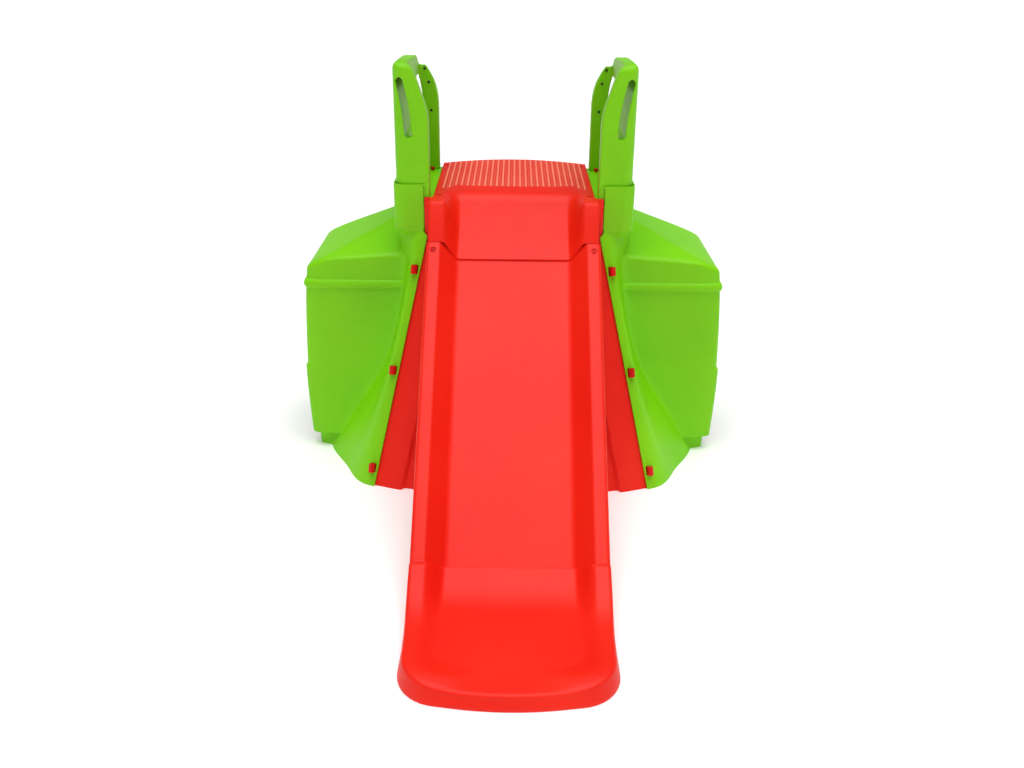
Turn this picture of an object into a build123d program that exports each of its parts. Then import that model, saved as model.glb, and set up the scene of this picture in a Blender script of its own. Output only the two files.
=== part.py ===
from build123d import *
import math
import os

# A toddler slide: a moulded tower of two side shells with crawl-tunnel hoods, a front and a rear
# panel, a deck with a rolled inlet, a chute, a run-out toe and two handrails.
# Millimetres.  +Z up, +X to the right as seen from the toe, the slide runs down towards -Y.
# Pieces are drawn about the tower's centre line and shifted together at the end, so that the
# finished part stands on z = 0 with the middle of its bounding box at x = y = 0.

# ---- driving dimensions -------------------------------------------------------------------
WALL = 5.0                    # moulded wall
CLEARANCE = 1.0               # assembly gap between mouldings that nest

DECK_HEIGHT = 847.0
DECK_HALF_WIDTH = 240.0
COLLAR_DEPTH = 234.0          # half the tower's size along Y, at the collar
DECK_RIM = 42.0               # depth of the deck's turned-down rim
DECK_FRONT_INSET = 13.0       # the deck's front edge, behind the collar's
DECK_REAR_REACH = 21.0        # the deck's rear corners, past the collar's
DECK_REAR_BOW = 70.0
DECK_RIBS = (-120.0, 0.0, 120.0)
RIB_THICKNESS = 4.0
RIB_DEPTH = 25.0

CHUTE_ANGLE = 41.05           # degrees below the horizontal
CHUTE_OVERHANG = 11.0         # outer face of a rail, past the side of the deck
CHUTE_RAIL = 39.0             # width of a rail's top
CHUTE_LEAN = 48.0             # how far a rail's inner wall leans in
CHUTE_DEPTH = 58.0            # rail top above the sliding floor, square to the floor
CHUTE_SKIRT = 34.0            # outer skirt below the sliding floor
CHUTE_START_OUT = 66.0        # upper end of the sliding floor, in front of the collar
CHUTE_START_DOWN = 150.0      # and below the deck
CHUTE_END_Z = 81.35           # lower end of the sliding floor
CHUTE_FLOOR_ROUND = 26.0
CHUTE_RAIL_ROUND = 11.0

TOE_LENGTH = 425.0            # from the chute's lower end to the toe's front edge
TOE_SPREAD = 6.0              # the toe's widest half-width, past the chute's
TOE_RIM_HEIGHT = 46.0
TOE_FLOOR_HEIGHT = 26.0
TOE_CORNER = 66.0
TOE_FRONT_BOW = 22.0
TOE_LEAN = 18.0               # the toe's inner wall, inside the chute rails' inner edges
TOE_SWEEP = 150.0             # longest tangent of the bend where the toe levels off
TOE_LAP = 40.0                # lap of the toe's tab under the chute
TOE_BOSS = 10.0               # height of the chute's screw bosses over that tab

INLET_ROLL = 46.1             # tangent length of the bend from the deck into the chute's slope
INLET_SIDE = 50.0             # the channel's side, inside the deck's
INLET_OVERLAP = 16.0          # the inlet's lip laps this far over the chute's floor
CHEEK_SPREAD = 6.0            # outer face of a cheek, past the side of the deck
CHEEK_OUT = 42.0              # front of a cheek's level top, in front of the collar
INLET_JOINT = 6.0             # the cheeks start this far behind the deck's front edge

FLANGE_TOP_DOWN = 102.0       # the flanges end this far below the deck
FLANGE_SIDE = 14.0            # their inner edge up there, past the side of the deck
FLANGE_OUT = 6.0              # and in front of the collar
FLANGE_SPREAD = (167.0, 219.0)  # how far that edge leans out and forward down to the floor
FLANGE_LAP = 26.0             # how far the panels run on behind the flanges
BOW_TOP = 40.0                # bow of the panels between the flanges, at the top
BOW_FOOT = 81.0               # and at the floor
PANEL_GAP = 2.5               # between a flange's inner face and the panel behind it
PANEL_NECK_INSET = 40.0       # side of the rear panel's neck, inside the deck's
CHUTE_GAP = 6.0               # round the chute where it passes the front panel

COLLAR_SIDE = 115.0           # outer face of the collar, past the side of the deck
COLLAR_EDGE = 26.0            # inner edge of the collar's front, past the side of the deck
COLLAR_RISE = 37.0            # top of the collar above the deck
COLLAR_ROUND = 34.0
LEDGE_DROP = 9.0              # the ledge that the handrail stands on, below the deck
SHELF_REACH = 32.0            # the shelf under the deck's rim reaches in this far

RAIL_HEIGHT = 377.0           # top of the handrail above the deck
RAIL_EDGE = 8.0               # inner edge of its legs, past the side of the deck
RAIL_TUBE = 40.0              # thickness of the hollow handrail
RAIL_SKIN = 3.5               # its moulded wall
RAIL_ARCH = ((0.0, 227.0), (19.0, 291.0), (40.0, 349.0))  # inner edge: out of line, above the deck
RAIL_ARCH_ROUND = 24.0
RAIL_SHOULDER = 15.0          # outer top edge
RAIL_CORNER = 30.0
RAIL_FRONT_ROUND = 60.0
RAIL_REAR_ROUND = 140.0
SLOT_WIDTH = 28.0
SLOT_LINE = ((48.0, 183.0), (44.0, 243.0), (26.0, 313.0))  # inside the outer face, above the deck

HOOD_DEPTH_INSET = 29.0       # front wall of the tunnel hood, behind the collar's front
HOOD_REACH = 306.0            # widest point of the hood's end wall, past the collar
HOOD_WAIST_Z = 290.0          # height of that point
HOOD_ROOF_DOWN = 103.5        # edge of the hood's roof below the flanges' top
HOOD_ROOF_EDGE = 29.0         # that edge, inside the widest point
HOOD_RIDGE = (88.0, 5.5)      # where the roof starts to rise: inside that point, above the edge
HOOD_RISE_DOWN = 14.0         # the roof where it meets the tower, below the flanges' top
HOOD_FACET = 0.27             # rise of the facet behind the front wall's top edge
HOOD_FOOT_TOP = 48.0          # the foot is stepped in below this height
HOOD_FOOT_STEP = 18.0
HOOD_FOOT_INSET = 26.0        # end wall at the foot, inside the widest point
HOOD_CORNER = 26.0
BEAD_DOWN = 69.5              # rib round the hood, below the roof's edge
BEAD_LEAN = 21.0              # end wall at the bead, inside the widest point
BEAD_RADIUS = 9.0
DOOR_HALF_WIDTH = 150.0       # crawl-through opening in the hood's end wall
DOOR_HEIGHT = 520.0

STEP_COUNT = 3                # foot holes in the rear panel
STEP_HALF_WIDTH = 165.0
STEP_HOLE = 105.0             # height of each foot hole
STEP_TREAD = 92.0             # depth of each tread
STEP_OUT = 16.0               # a tread stands this far out of the panel

PEG_RADIUS = 9.0
PEG_BORE = 5.0
PEG_LENGTH = 26.0
PEG_SHANK = 10.0
PEG_DOWN = 109.0              # top pegs below the flanges' top
PEG_FOOT = 54.0               # lowest pegs above the floor
PEG_INSET = 16.0              # from the flange's inner edge to the peg's axis
PEG_STAND_OFF = 1.5           # a peg's head stands this far off the flange
CATCH_GAP = 8.0               # a peg's catch behind the flange and the panel

SCREW_HEAD = 6.5
SCREW_SHANK = 2.5
SCREW_HEAD_HEIGHT = 2.4
SCREW_SEAT = 2.6              # depth of the recess round each screw head
SCREW_GAP = 0.3               # clearance round a screw's shank
SEAT_GAP = 1.8                # clearance round a screw's head
BOSS_WALL = 4.2               # material round a screw's hole
SHORT_SCREW = 13.0
CHUTE_SCREW_DOWN = 24.0       # chute screws, down the slope from the chute's top end
DECK_SCREW_INSET = 18.0       # deck screws inside the deck's side
NUT_HEIGHT = 5.0
NUT_WALL = 3.2

PIN_RADIUS = 7.0
PIN_STEM = 4.0
PIN_LENGTH = 24.0
PIN_HEAD = 8.0
FOOT_PLATE = 4.0              # thickness of the handrail's foot between its legs

# ---- what follows from them ---------------------------------------------------------------
SLOPE = math.radians(CHUTE_ANGLE)
DOWNHILL = Vector(0, -math.cos(SLOPE), -math.sin(SLOPE))
CHUTE_NORMAL = Vector(0, -math.sin(SLOPE), math.cos(SLOPE))

DECK_FRONT = DECK_FRONT_INSET - COLLAR_DEPTH
DECK_REAR = COLLAR_DEPTH + DECK_REAR_REACH
CHUTE_HALF_WIDTH = DECK_HALF_WIDTH + CHUTE_OVERHANG
CHUTE_RAIL_INNER = CHUTE_HALF_WIDTH - CHUTE_RAIL
CHUTE_FLOOR_HALF = CHUTE_RAIL_INNER - CHUTE_LEAN
CHUTE_TOP_Y = -COLLAR_DEPTH - CHUTE_START_OUT
CHUTE_TOP_Z = DECK_HEIGHT - CHUTE_START_DOWN
CHUTE_END_Y = CHUTE_TOP_Y - (CHUTE_TOP_Z - CHUTE_END_Z) / math.tan(SLOPE)
TOE_FRONT = CHUTE_END_Y - TOE_LENGTH
TOE_HALF_WIDTH = CHUTE_HALF_WIDTH + TOE_SPREAD
INLET_HALF_WIDTH = DECK_HALF_WIDTH - INLET_SIDE
CHEEK_HALF_WIDTH = DECK_HALF_WIDTH + CHEEK_SPREAD
CHEEK_FRONT = -COLLAR_DEPTH - CHEEK_OUT
FLANGE_TOP_Z = DECK_HEIGHT - FLANGE_TOP_DOWN
FLANGE_TOP = (DECK_HALF_WIDTH + FLANGE_SIDE, -COLLAR_DEPTH - FLANGE_OUT)
FLANGE_FOOT = (FLANGE_TOP[0] + FLANGE_SPREAD[0], FLANGE_TOP[1] - FLANGE_SPREAD[1])
PANEL_NECK = DECK_HALF_WIDTH - PANEL_NECK_INSET
COLLAR_HALF_WIDTH = DECK_HALF_WIDTH + COLLAR_SIDE
COLLAR_INNER_EDGE = DECK_HALF_WIDTH + COLLAR_EDGE
COLLAR_TOP = DECK_HEIGHT + COLLAR_RISE
LEDGE_HEIGHT = DECK_HEIGHT - LEDGE_DROP
RAIL_TOP = DECK_HEIGHT + RAIL_HEIGHT
RAIL_INNER_EDGE = DECK_HALF_WIDTH + RAIL_EDGE
HOOD_HALF_DEPTH = COLLAR_DEPTH - HOOD_DEPTH_INSET
HOOD_WAIST = COLLAR_HALF_WIDTH + HOOD_REACH
HOOD_ROOF = FLANGE_TOP_Z - HOOD_ROOF_DOWN
HOOD_ROOF_AT_TOWER = FLANGE_TOP_Z - HOOD_RISE_DOWN
BEAD_Z = HOOD_ROOF - BEAD_DOWN
PEG_HEIGHTS = (FLANGE_TOP_Z - PEG_DOWN, (FLANGE_TOP_Z - PEG_DOWN + PEG_FOOT) / 2, PEG_FOOT)
BOSS_RADIUS = SCREW_SHANK + SCREW_GAP + BOSS_WALL
DECK_SCREW = DECK_RIM + WALL + NUT_HEIGHT - SCREW_SEAT + 2
# sections of the flared shell: their share of its height, and where each meets the hood's front
# wall, past the collar's half-width
SHELL_SECTIONS = ((0.0, 234.0), (0.19, 153.0), (0.36, 66.0), (0.56, 12.0), (0.75, -14.0), (1.0, -9.0))


# ---- small helpers ------------------------------------------------------------------------
def prism_z(face, low, high):
    """A face drawn in plan, raised between two heights."""
    return extrude(Pos(0, 0, low) * face, high - low)


def prism_x(face, low, high):
    """A face drawn in (y, z), stretched between two x positions."""
    return extrude(Plane.YZ.offset(low) * face, high - low)


def prism_y(face, low, high):
    """A face drawn in (x, z), stretched between two y positions."""
    return extrude(Plane.XZ.offset(-high) * face, high - low)


def polygon(points):
    return make_face(Polyline(points, close=True))


def block(x, y, z):
    """A box from three (low, high) pairs."""
    size = [high - low for low, high in (x, y, z)]
    middle = [(high + low) / 2 for low, high in (x, y, z)]
    return Pos(*middle) * Box(*size)


def both_sides(shape):
    return shape + mirror(shape, about=Plane.YZ)


def floor_z(y):
    """Height of the chute's sliding floor at y."""
    return CHUTE_TOP_Z + (y - CHUTE_TOP_Y) * math.tan(SLOPE)


def blend_value(low, high, z):
    """Value at height z of something that runs from `low` at the floor to `high` at the collar."""
    return low + (high - low) * z / FLANGE_TOP_Z


def flange_edge(z):
    """Inner edge of the front flange at height z, in plan."""
    x = blend_value(FLANGE_FOOT[0], FLANGE_TOP[0], z)
    y = blend_value(FLANGE_FOOT[1], FLANGE_TOP[1], z)
    return x, y


def panel_bow(z):
    return blend_value(BOW_FOOT, BOW_TOP, z)


def flange_turn(z):
    """Angle in plan between the flange and the X axis, set by the bow of the panels."""
    return 2 * math.atan(panel_bow(z) / flange_edge(z)[0])


def moved_inwards(points, distance):
    """Plan points moved square to the line through their neighbours."""
    result = []
    for i, (x, y) in enumerate(points):
        before = points[max(i - 1, 0)]
        after = points[min(i + 1, len(points) - 1)]
        along = Vector(after[0] - before[0], after[1] - before[1]).normalized()
        result.append((x - along.Y * distance, y + along.X * distance))
    return result


# ---- side shells --------------------------------------------------------------------------
def shell_points(z, junction):
    """Plan outline of a side shell at height z, from the front flange round to the rear one."""
    edge = flange_edge(z)
    turn = flange_turn(z)
    run = FLANGE_LAP - 2 * CLEARANCE
    lap = (edge[0] + run * math.cos(turn), edge[1] + run * math.sin(turn))
    meet = (junction, -HOOD_HALF_DEPTH)
    bulge = 0.10 * (meet[0] - lap[0])
    shoulder = (lap[0] + 0.45 * (meet[0] - lap[0]) + bulge, lap[1] + 0.45 * (meet[1] - lap[1]))
    side = (junction + 12.0, 0.0)
    front = [edge, lap, shoulder, meet]
    rear = [(x, -y) for x, y in reversed(front)]
    return front + [side] + rear


def strip_face(points, z):
    """A thin C-shaped face, WALL thick, along plan points at height z."""
    inner = moved_inwards(points, WALL)
    outer_line = Spline([(x, y, z) for x, y in points])
    inner_line = Spline([(x, y, z) for x, y in reversed(inner)])
    ends = [Line(outer_line @ 1, inner_line @ 0), Line(inner_line @ 1, outer_line @ 0)]
    return make_face([outer_line, ends[0], inner_line, ends[1]])


def core_face(points, z):
    """The area enclosed between plan points and the tower's middle plane."""
    outer_line = Spline([(x, y, z) for x, y in points])
    first, last = points[0], points[-1]
    closing = Polyline((last[0], last[1], z), (0, last[1], z), (0, first[1], z), (first[0], first[1], z))
    return make_face([outer_line] + closing.edges())


def hood_profile(inset):
    """The hood seen from the front, as an (x, z) face, moved inwards by `inset`."""
    reach = HOOD_WAIST - inset
    floor = -1 if inset else 0
    roof = HOOD_ROOF - inset
    tower = COLLAR_HALF_WIDTH + SHELL_SECTIONS[-1][1]
    return polygon([
        (COLLAR_INNER_EDGE, floor), (reach - HOOD_FOOT_INSET, floor),
        (reach - HOOD_FOOT_INSET, HOOD_FOOT_TOP - inset / 2),
        (reach - HOOD_FOOT_INSET + HOOD_FOOT_STEP, HOOD_FOOT_TOP + inset / 2),
        (reach, HOOD_WAIST_Z), (reach - BEAD_LEAN, BEAD_Z), (reach - HOOD_ROOF_EDGE, roof),
        (HOOD_WAIST - HOOD_RIDGE[0], roof + HOOD_RIDGE[1]), (tower, HOOD_ROOF_AT_TOWER - inset),
        (COLLAR_INNER_EDGE, HOOD_ROOF_AT_TOWER - inset),
    ])


def hood_side(inset):
    """The hood seen from its end, as a (y, z) face: stepped foot and a facet above the front wall."""
    half = HOOD_HALF_DEPTH - inset
    narrow = half - HOOD_FOOT_STEP
    front_top = HOOD_ROOF - inset
    crest = HOOD_ROOF_AT_TOWER - inset + 2 * WALL
    facet_run = (crest - front_top) / HOOD_FACET
    step_low, step_high = HOOD_FOOT_TOP - inset / 2, HOOD_FOOT_TOP + inset / 2
    return polygon([
        (-narrow, -5), (narrow, -5), (narrow, step_low), (half, step_high), (half, crest),
        (facet_run - half, crest), (-half, front_top), (-half, step_high), (-narrow, step_low),
    ])


def hood_plan(inset):
    """The hood seen from above: its outer corners are rounded."""
    area = Rectangle(2 * (HOOD_WAIST - inset), 2 * (HOOD_HALF_DEPTH - inset))
    return fillet(area.vertices(), HOOD_CORNER - inset)


def hood_block(inset):
    tall = prism_z(hood_plan(inset), -2, FLANGE_TOP_Z) & prism_x(hood_side(inset), 0, HOOD_WAIST + 20)
    return prism_y(hood_profile(inset), -HOOD_HALF_DEPTH, HOOD_HALF_DEPTH) & tall


def bead():
    """The half-round rib round the hood, below its roof."""
    band = offset(hood_plan(HOOD_CORNER / 4), HOOD_CORNER / 4 + BEAD_RADIUS / 2)
    ring = prism_z(band, BEAD_Z - BEAD_RADIUS, BEAD_Z + BEAD_RADIUS)
    half = block((COLLAR_INNER_EDGE, 2 * HOOD_WAIST), (-COLLAR_DEPTH, COLLAR_DEPTH), (0, FLANGE_TOP_Z))
    return Pos(BEAD_RADIUS / 2 - BEAD_LEAN, 0, 0) * ring & half


def door():
    """The crawl-through opening: straight sides under a half-round head."""
    head = DOOR_HEIGHT - DOOR_HALF_WIDTH
    return Pos(0, head) * Circle(DOOR_HALF_WIDTH) + Pos(0, head / 2) * Rectangle(2 * DOOR_HALF_WIDTH, head)


def collar_plan(inset):
    """C-shaped plan of the collar, filled; the handrail stands inside it."""
    outer = COLLAR_HALF_WIDTH - inset
    half = COLLAR_DEPTH - inset
    area = Pos(outer / 2, 0) * Rectangle(outer, 2 * half)
    corners = area.vertices().sort_by(Axis.X)[-2:]
    return fillet(corners, COLLAR_ROUND - inset)


def collar():
    """Socket for the handrail, with the ledge it stands on and the shelf under the deck's rim."""
    reach = COLLAR_HALF_WIDTH
    wall = prism_z(collar_plan(0) - collar_plan(WALL), FLANGE_TOP_Z - WALL - 1, COLLAR_TOP)
    wall &= block((COLLAR_INNER_EDGE, reach), (-COLLAR_DEPTH, COLLAR_DEPTH), (0, COLLAR_TOP))
    shelf_x = DECK_HALF_WIDTH - SHELF_REACH
    shelf_top = DECK_HEIGHT - DECK_RIM
    inside = prism_z(collar_plan(WALL - 0.5), 0, COLLAR_TOP)
    ledge_edge = DECK_HALF_WIDTH + CLEARANCE
    span = (DECK_FRONT + INLET_JOINT + CLEARANCE, COLLAR_DEPTH - WALL)
    shelf = block((shelf_x, reach), span, (shelf_top - WALL, shelf_top))
    ledge = block((ledge_edge, reach), span, (LEDGE_HEIGHT - WALL, LEDGE_HEIGHT))
    riser = block((ledge_edge, ledge_edge + WALL), span, (shelf_top, LEDGE_HEIGHT))
    inner_parts = (shelf + ledge + riser) & inside
    return wall + inner_parts


def side_shell():
    """Right-hand side shell: flared tower wall, tunnel hood, collar, flanges with peg windows."""
    outlines = []
    for share, flare in SHELL_SECTIONS:
        z = share * FLANGE_TOP_Z
        outlines.append((shell_points(z, COLLAR_HALF_WIDTH + flare), z))
    flare = loft([strip_face(points, z) for points, z in outlines], ruled=True)
    core = loft([core_face(moved_inwards(points, WALL / 2), z) for points, z in outlines], ruled=True)
    hood = hood_block(0) + bead()
    hood = hood - hood_block(WALL) - core
    hood -= prism_x(door(), HOOD_WAIST - 2 * HOOD_ROOF_EDGE, HOOD_WAIST + BEAD_RADIUS)
    passage = hood_block(WALL) & block((0, HOOD_WAIST), (-COLLAR_DEPTH, COLLAR_DEPTH), (-2, HOOD_ROOF - 40))
    flare -= passage
    shell = flare + hood + collar()
    for place in peg_places():
        shell -= place * peg_window()
    for place in pin_places():
        shell -= place * Cylinder(PIN_STEM + CLEARANCE / 2, 60)
    for place in deck_screw_places():
        shell -= place * Cylinder(SCREW_SHANK + SCREW_GAP, 3 * DECK_RIM)
    return shell


# ---- pegs ---------------------------------------------------------------------------------
def peg_place(height, end):
    """Location on a flange: local Z square to the flange, local Y up along it."""
    x, y = flange_edge(height)
    turn = flange_turn(height)
    x += PEG_INSET * math.cos(turn)
    y += PEG_INSET * math.sin(turn)
    lean = math.atan((FLANGE_TOP[1] - FLANGE_FOOT[1]) / FLANGE_TOP_Z)
    outward = Vector(math.sin(turn) * math.cos(lean), -math.cos(turn) * math.cos(lean), math.sin(lean))
    across = Vector(math.cos(turn), math.sin(turn), 0)
    if end > 0:
        return Plane(origin=(x, -y, height), x_dir=(-across.X, across.Y, 0),
                     z_dir=(outward.X, -outward.Y, outward.Z)).location
    return Plane(origin=(x, y, height), x_dir=across, z_dir=outward).location


def peg_places(ends=(-1, 1)):
    return [peg_place(height, end) for end in ends for height in PEG_HEIGHTS]


def peg_window():
    """Pocket through a flange that takes a peg's head with room round it."""
    return Box(2 * (PEG_RADIUS + CLEARANCE), PEG_LENGTH + 2 * CLEARANCE, 30)


def panel_window():
    """Slot through a panel that takes a peg's shank."""
    return Pos(0, 0, -15) * Box(PEG_SHANK + 2 * CLEARANCE, PEG_SHANK + 2 * CLEARANCE, 50)


def peg():
    """Hollow round head lying along the flange, with a square shank and a catch behind the panel."""
    behind = 2 * WALL + CATCH_GAP
    top = PEG_STAND_OFF + 2
    head = Rot(90, 0, 0) * (Cylinder(PEG_RADIUS, PEG_LENGTH) - Cylinder(PEG_BORE, PEG_LENGTH + 2))
    head = Pos(0, 0, PEG_RADIUS + PEG_STAND_OFF) * head
    shank = Pos(0, 0, (top - behind) / 2) * Box(PEG_SHANK, PEG_SHANK, behind + top)
    catch = Pos(0, 0, -behind - 2) * Box(PEG_SHANK, 2 * PEG_SHANK, 4)
    return head + shank + catch


def peg_group(end):
    return Compound(children=[place * peg() for place in peg_places((end,))])


# ---- panels -------------------------------------------------------------------------------
def panel_face(z, extra=0.0):
    """Bowed strip in plan at height z; its edges run on behind the flanges."""
    edge_x, edge_y = flange_edge(z)
    turn = flange_turn(z)
    inset = WALL + PANEL_GAP
    end_x = edge_x + FLANGE_LAP * math.cos(turn) - inset * math.sin(turn)
    end_y = edge_y + FLANGE_LAP * math.sin(turn) + inset * math.cos(turn)
    middle_y = edge_y - panel_bow(z) + inset
    outer = ThreePointArc((-end_x, end_y, z), (0, middle_y, z), (end_x, end_y, z))
    inner = ThreePointArc((end_x, end_y + WALL, z), (0, middle_y + WALL, z), (-end_x, end_y + WALL, z))
    ends = [Line(outer @ 1, inner @ 0), Line(inner @ 1, outer @ 0)]
    return make_face([outer, ends[0], inner, ends[1]])


def plain_panel(top):
    """Bowed panel from the floor to `top`, full width only as high as the flanges."""
    shoulder = FLANGE_TOP_Z - 8
    panel = loft([panel_face(top * share) for share in (0, 0.33, 0.67, 1)], ruled=True)
    if top > shoulder:
        reach = FLANGE_FOOT[0] - FLANGE_FOOT[1]
        panel -= both_sides(block((PANEL_NECK, reach), (-reach, reach), (shoulder, top + WALL)))
    for place in peg_places((-1,)):
        panel -= both_sides(place * panel_window())
    return panel


def chute_envelope():
    """Room that the chute and the inlet need in front of the tower."""
    below = (CHUTE_SKIRT + CHUTE_GAP) / math.cos(SLOPE)
    near, far = CHUTE_TOP_Y + 110, CHUTE_TOP_Y - 400
    outline = polygon([
        (near, floor_z(near) - below), (far, floor_z(far) - below), (far, DECK_HEIGHT), (near, DECK_HEIGHT),
    ])
    half = CHUTE_HALF_WIDTH + CHUTE_GAP / 2
    return prism_x(outline, -half, half)


def front_panel():
    return plain_panel(FLANGE_TOP_Z - 8) - chute_envelope()


def step_height(index):
    return DECK_HEIGHT * (index + 1) / (STEP_COUNT + 1)


def panel_middle_y(z):
    """Outer surface of the rear panel on the centre line."""
    return -(flange_edge(z)[1] - panel_bow(z) + WALL + PANEL_GAP)


def tread(z):
    """A foot hole's floor: a hollow-topped plate that passes through the rear panel."""
    middle_y = panel_middle_y(z) + STEP_OUT - STEP_TREAD / 2
    outline = Pos(0, middle_y) * Rectangle(2 * STEP_HALF_WIDTH, STEP_TREAD)
    outline = fillet(outline.vertices(), 16)
    plate = prism_z(outline, z - WALL, z)
    lip = prism_z(outline - offset(outline, -WALL), z - 3 * WALL, z)
    return plate + lip


def rear_climb_panel():
    """Rear panel with foot holes, each over a tread."""
    top = DECK_HEIGHT - DECK_RIM - CLEARANCE
    panel = mirror(plain_panel(top), about=Plane.XZ)
    for index in range(STEP_COUNT):
        z = step_height(index)
        hole = Pos(0, z + STEP_HOLE / 2) * Rectangle(2 * STEP_HALF_WIDTH, STEP_HOLE)
        hole = fillet(hole.vertices(), 34)
        panel -= prism_y(hole, 0, -FLANGE_FOOT[1] + BOW_FOOT)
    for index in range(STEP_COUNT):
        panel += tread(step_height(index))
    return panel


# ---- deck and inlet -----------------------------------------------------------------------
def inlet_curve():
    """The rolled inlet in (y, z): where its bend starts, where it ends, and the lip."""
    lip_y = CHUTE_TOP_Y - INLET_OVERLAP
    lip_z = floor_z(lip_y) + (WALL + CLEARANCE / 2) / math.cos(SLOPE)
    bend_y = lip_y + (DECK_HEIGHT - lip_z) / math.tan(SLOPE)
    start = (bend_y + INLET_ROLL, DECK_HEIGHT)
    end = (bend_y - INLET_ROLL * math.cos(SLOPE), DECK_HEIGHT - INLET_ROLL * math.sin(SLOPE))
    return start, end, (lip_y, lip_z)


def channel_face(drop):
    """Everything above the inlet's surface, moved down by `drop`, as a (y, z) face."""
    start, end, lip = [(y, z - drop) for y, z in inlet_curve()]
    beyond = 60.0
    arc = TangentArc(start, end, tangent=(-1, 0))
    lines = Polyline(end, (lip[0] - beyond, lip[1] - beyond * math.tan(SLOPE)),
                     (lip[0] - beyond, start[1] + beyond), (start[0], start[1] + beyond), start)
    return make_face([arc] + lines.edges())


def inlet_block():
    """Cheeks and rolled inlet as one hollow moulding, open underneath."""
    seat = CLEARANCE / math.cos(SLOPE)
    rail_y = CHUTE_TOP_Y + CHUTE_NORMAL.Y * (CHUTE_DEPTH + 2 * CLEARANCE)
    rail_z = CHUTE_TOP_Z + CHUTE_NORMAL.Z * (CHUTE_DEPTH + 2 * CLEARANCE)
    foot_y = CHUTE_TOP_Y + seat
    back_y = DECK_FRONT + INLET_JOINT
    outline = polygon([
        (back_y, DECK_HEIGHT), (CHEEK_FRONT, DECK_HEIGHT), (CHEEK_FRONT - 24, DECK_HEIGHT - 20),
        (rail_y, rail_z + 12), (rail_y + seat, rail_z), (foot_y, CHUTE_TOP_Z + CLEARANCE),
        (foot_y + 40, CHUTE_TOP_Z), (back_y, CHUTE_TOP_Z + DECK_RIM + CLEARANCE),
    ])
    outer, inner = CHEEK_HALF_WIDTH, CHEEK_HALF_WIDTH - WALL
    channel_half = INLET_HALF_WIDTH + WALL
    solid = prism_x(outline, -outer, outer) - prism_x(channel_face(0), -INLET_HALF_WIDTH, INLET_HALF_WIDTH)
    room = prism_x(offset(outline, -WALL), -inner, inner)
    floor_skin = prism_x(channel_face(WALL), -channel_half, channel_half)
    solid -= room - floor_skin
    back = block((-inner, inner), (DECK_FRONT - CLEARANCE, DECK_FRONT + DECK_RIM), (0, DECK_HEIGHT - WALL))
    return solid - (back - floor_skin)


def inlet_tongue(side):
    """A tab on the inlet that reaches under a chute rail and takes the chute screw."""
    middle = (CHUTE_RAIL_INNER + CHUTE_HALF_WIDTH) / 2
    top = CHUTE_DEPTH - WALL - CLEARANCE
    tab = Box(2 * BOSS_RADIUS, 2 * CHUTE_SCREW_DOWN + BOSS_RADIUS, WALL,
              align=(Align.CENTER, Align.CENTER, Align.MAX))
    return chute_frame(CHUTE_TOP_Y) * Pos(side * middle, -BOSS_RADIUS / 2, top) * tab


def inlet_lip():
    """The thin end of the inlet that laps over the chute's floor."""
    lip = inlet_curve()[-1]
    plane = Plane(origin=(0, lip[0], lip[1]), x_dir=(1, 0, 0), z_dir=-DOWNHILL)
    area = Rectangle(2 * (CHUTE_FLOOR_HALF - 2 * CLEARANCE), WALL, align=(Align.CENTER, Align.MAX))
    return extrude(plane * area, 2 * INLET_OVERLAP + 14)


def deck_plan(inset):
    """Deck outline: straight sides and a bowed rear edge."""
    half = DECK_HALF_WIDTH - inset
    rear = DECK_REAR - inset
    arc = ThreePointArc((half, rear), (0, rear + DECK_REAR_BOW), (-half, rear))
    lines = Polyline((-half, rear), (-half, DECK_FRONT + inset), (half, DECK_FRONT + inset), (half, rear))
    return make_face([arc] + lines.edges())


def deck():
    """Deck plate with a turned-down rim and ribs, in one moulding with the rolled inlet."""
    top = DECK_HEIGHT
    rim_low = top - DECK_RIM
    half = DECK_HALF_WIDTH + CLEARANCE
    body = prism_z(deck_plan(0), rim_low, top) - prism_z(deck_plan(WALL), rim_low - 1, top - WALL)
    for x in DECK_RIBS:
        side = (x - RIB_THICKNESS / 2, x + RIB_THICKNESS / 2)
        body += block(side, (0, DECK_REAR), (top - WALL - RIB_DEPTH, top - WALL))
    channel = prism_x(channel_face(0), -INLET_HALF_WIDTH, INLET_HALF_WIDTH)
    body -= channel
    skin = prism_x(channel_face(WALL), -INLET_HALF_WIDTH - WALL, INLET_HALF_WIDTH + WALL)
    skin -= prism_x(channel_face(0), -half, half)
    body += skin & block((-half, half), (DECK_FRONT, inlet_curve()[0][0]), (0, top))
    ear = block((CHEEK_HALF_WIDTH - WALL, COLLAR_INNER_EDGE - CLEARANCE),
                (-COLLAR_DEPTH, -COLLAR_DEPTH + WALL), (FLANGE_TOP_Z + CHEEK_SPREAD, top))
    body += inlet_block() + inlet_lip() + both_sides(ear)
    boss = Cylinder(BOSS_RADIUS, DECK_RIM - WALL, align=(Align.CENTER, Align.CENTER, Align.MIN))
    for place in deck_screw_places():
        body += Pos(place.position.X, place.position.Y, rim_low) * boss
    for side in (-1, 1):
        body += inlet_tongue(side)
    for place in deck_screw_places() + chute_screw_places():
        body -= place * screw_seat()
    return body


# ---- chute and toe ------------------------------------------------------------------------
def chute_frame(y):
    """Location on the sliding floor at y: local Y uphill, local Z square to the floor."""
    return Plane(origin=(0, y, floor_z(y)), x_dir=(1, 0, 0), z_dir=CHUTE_NORMAL).location


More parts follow.
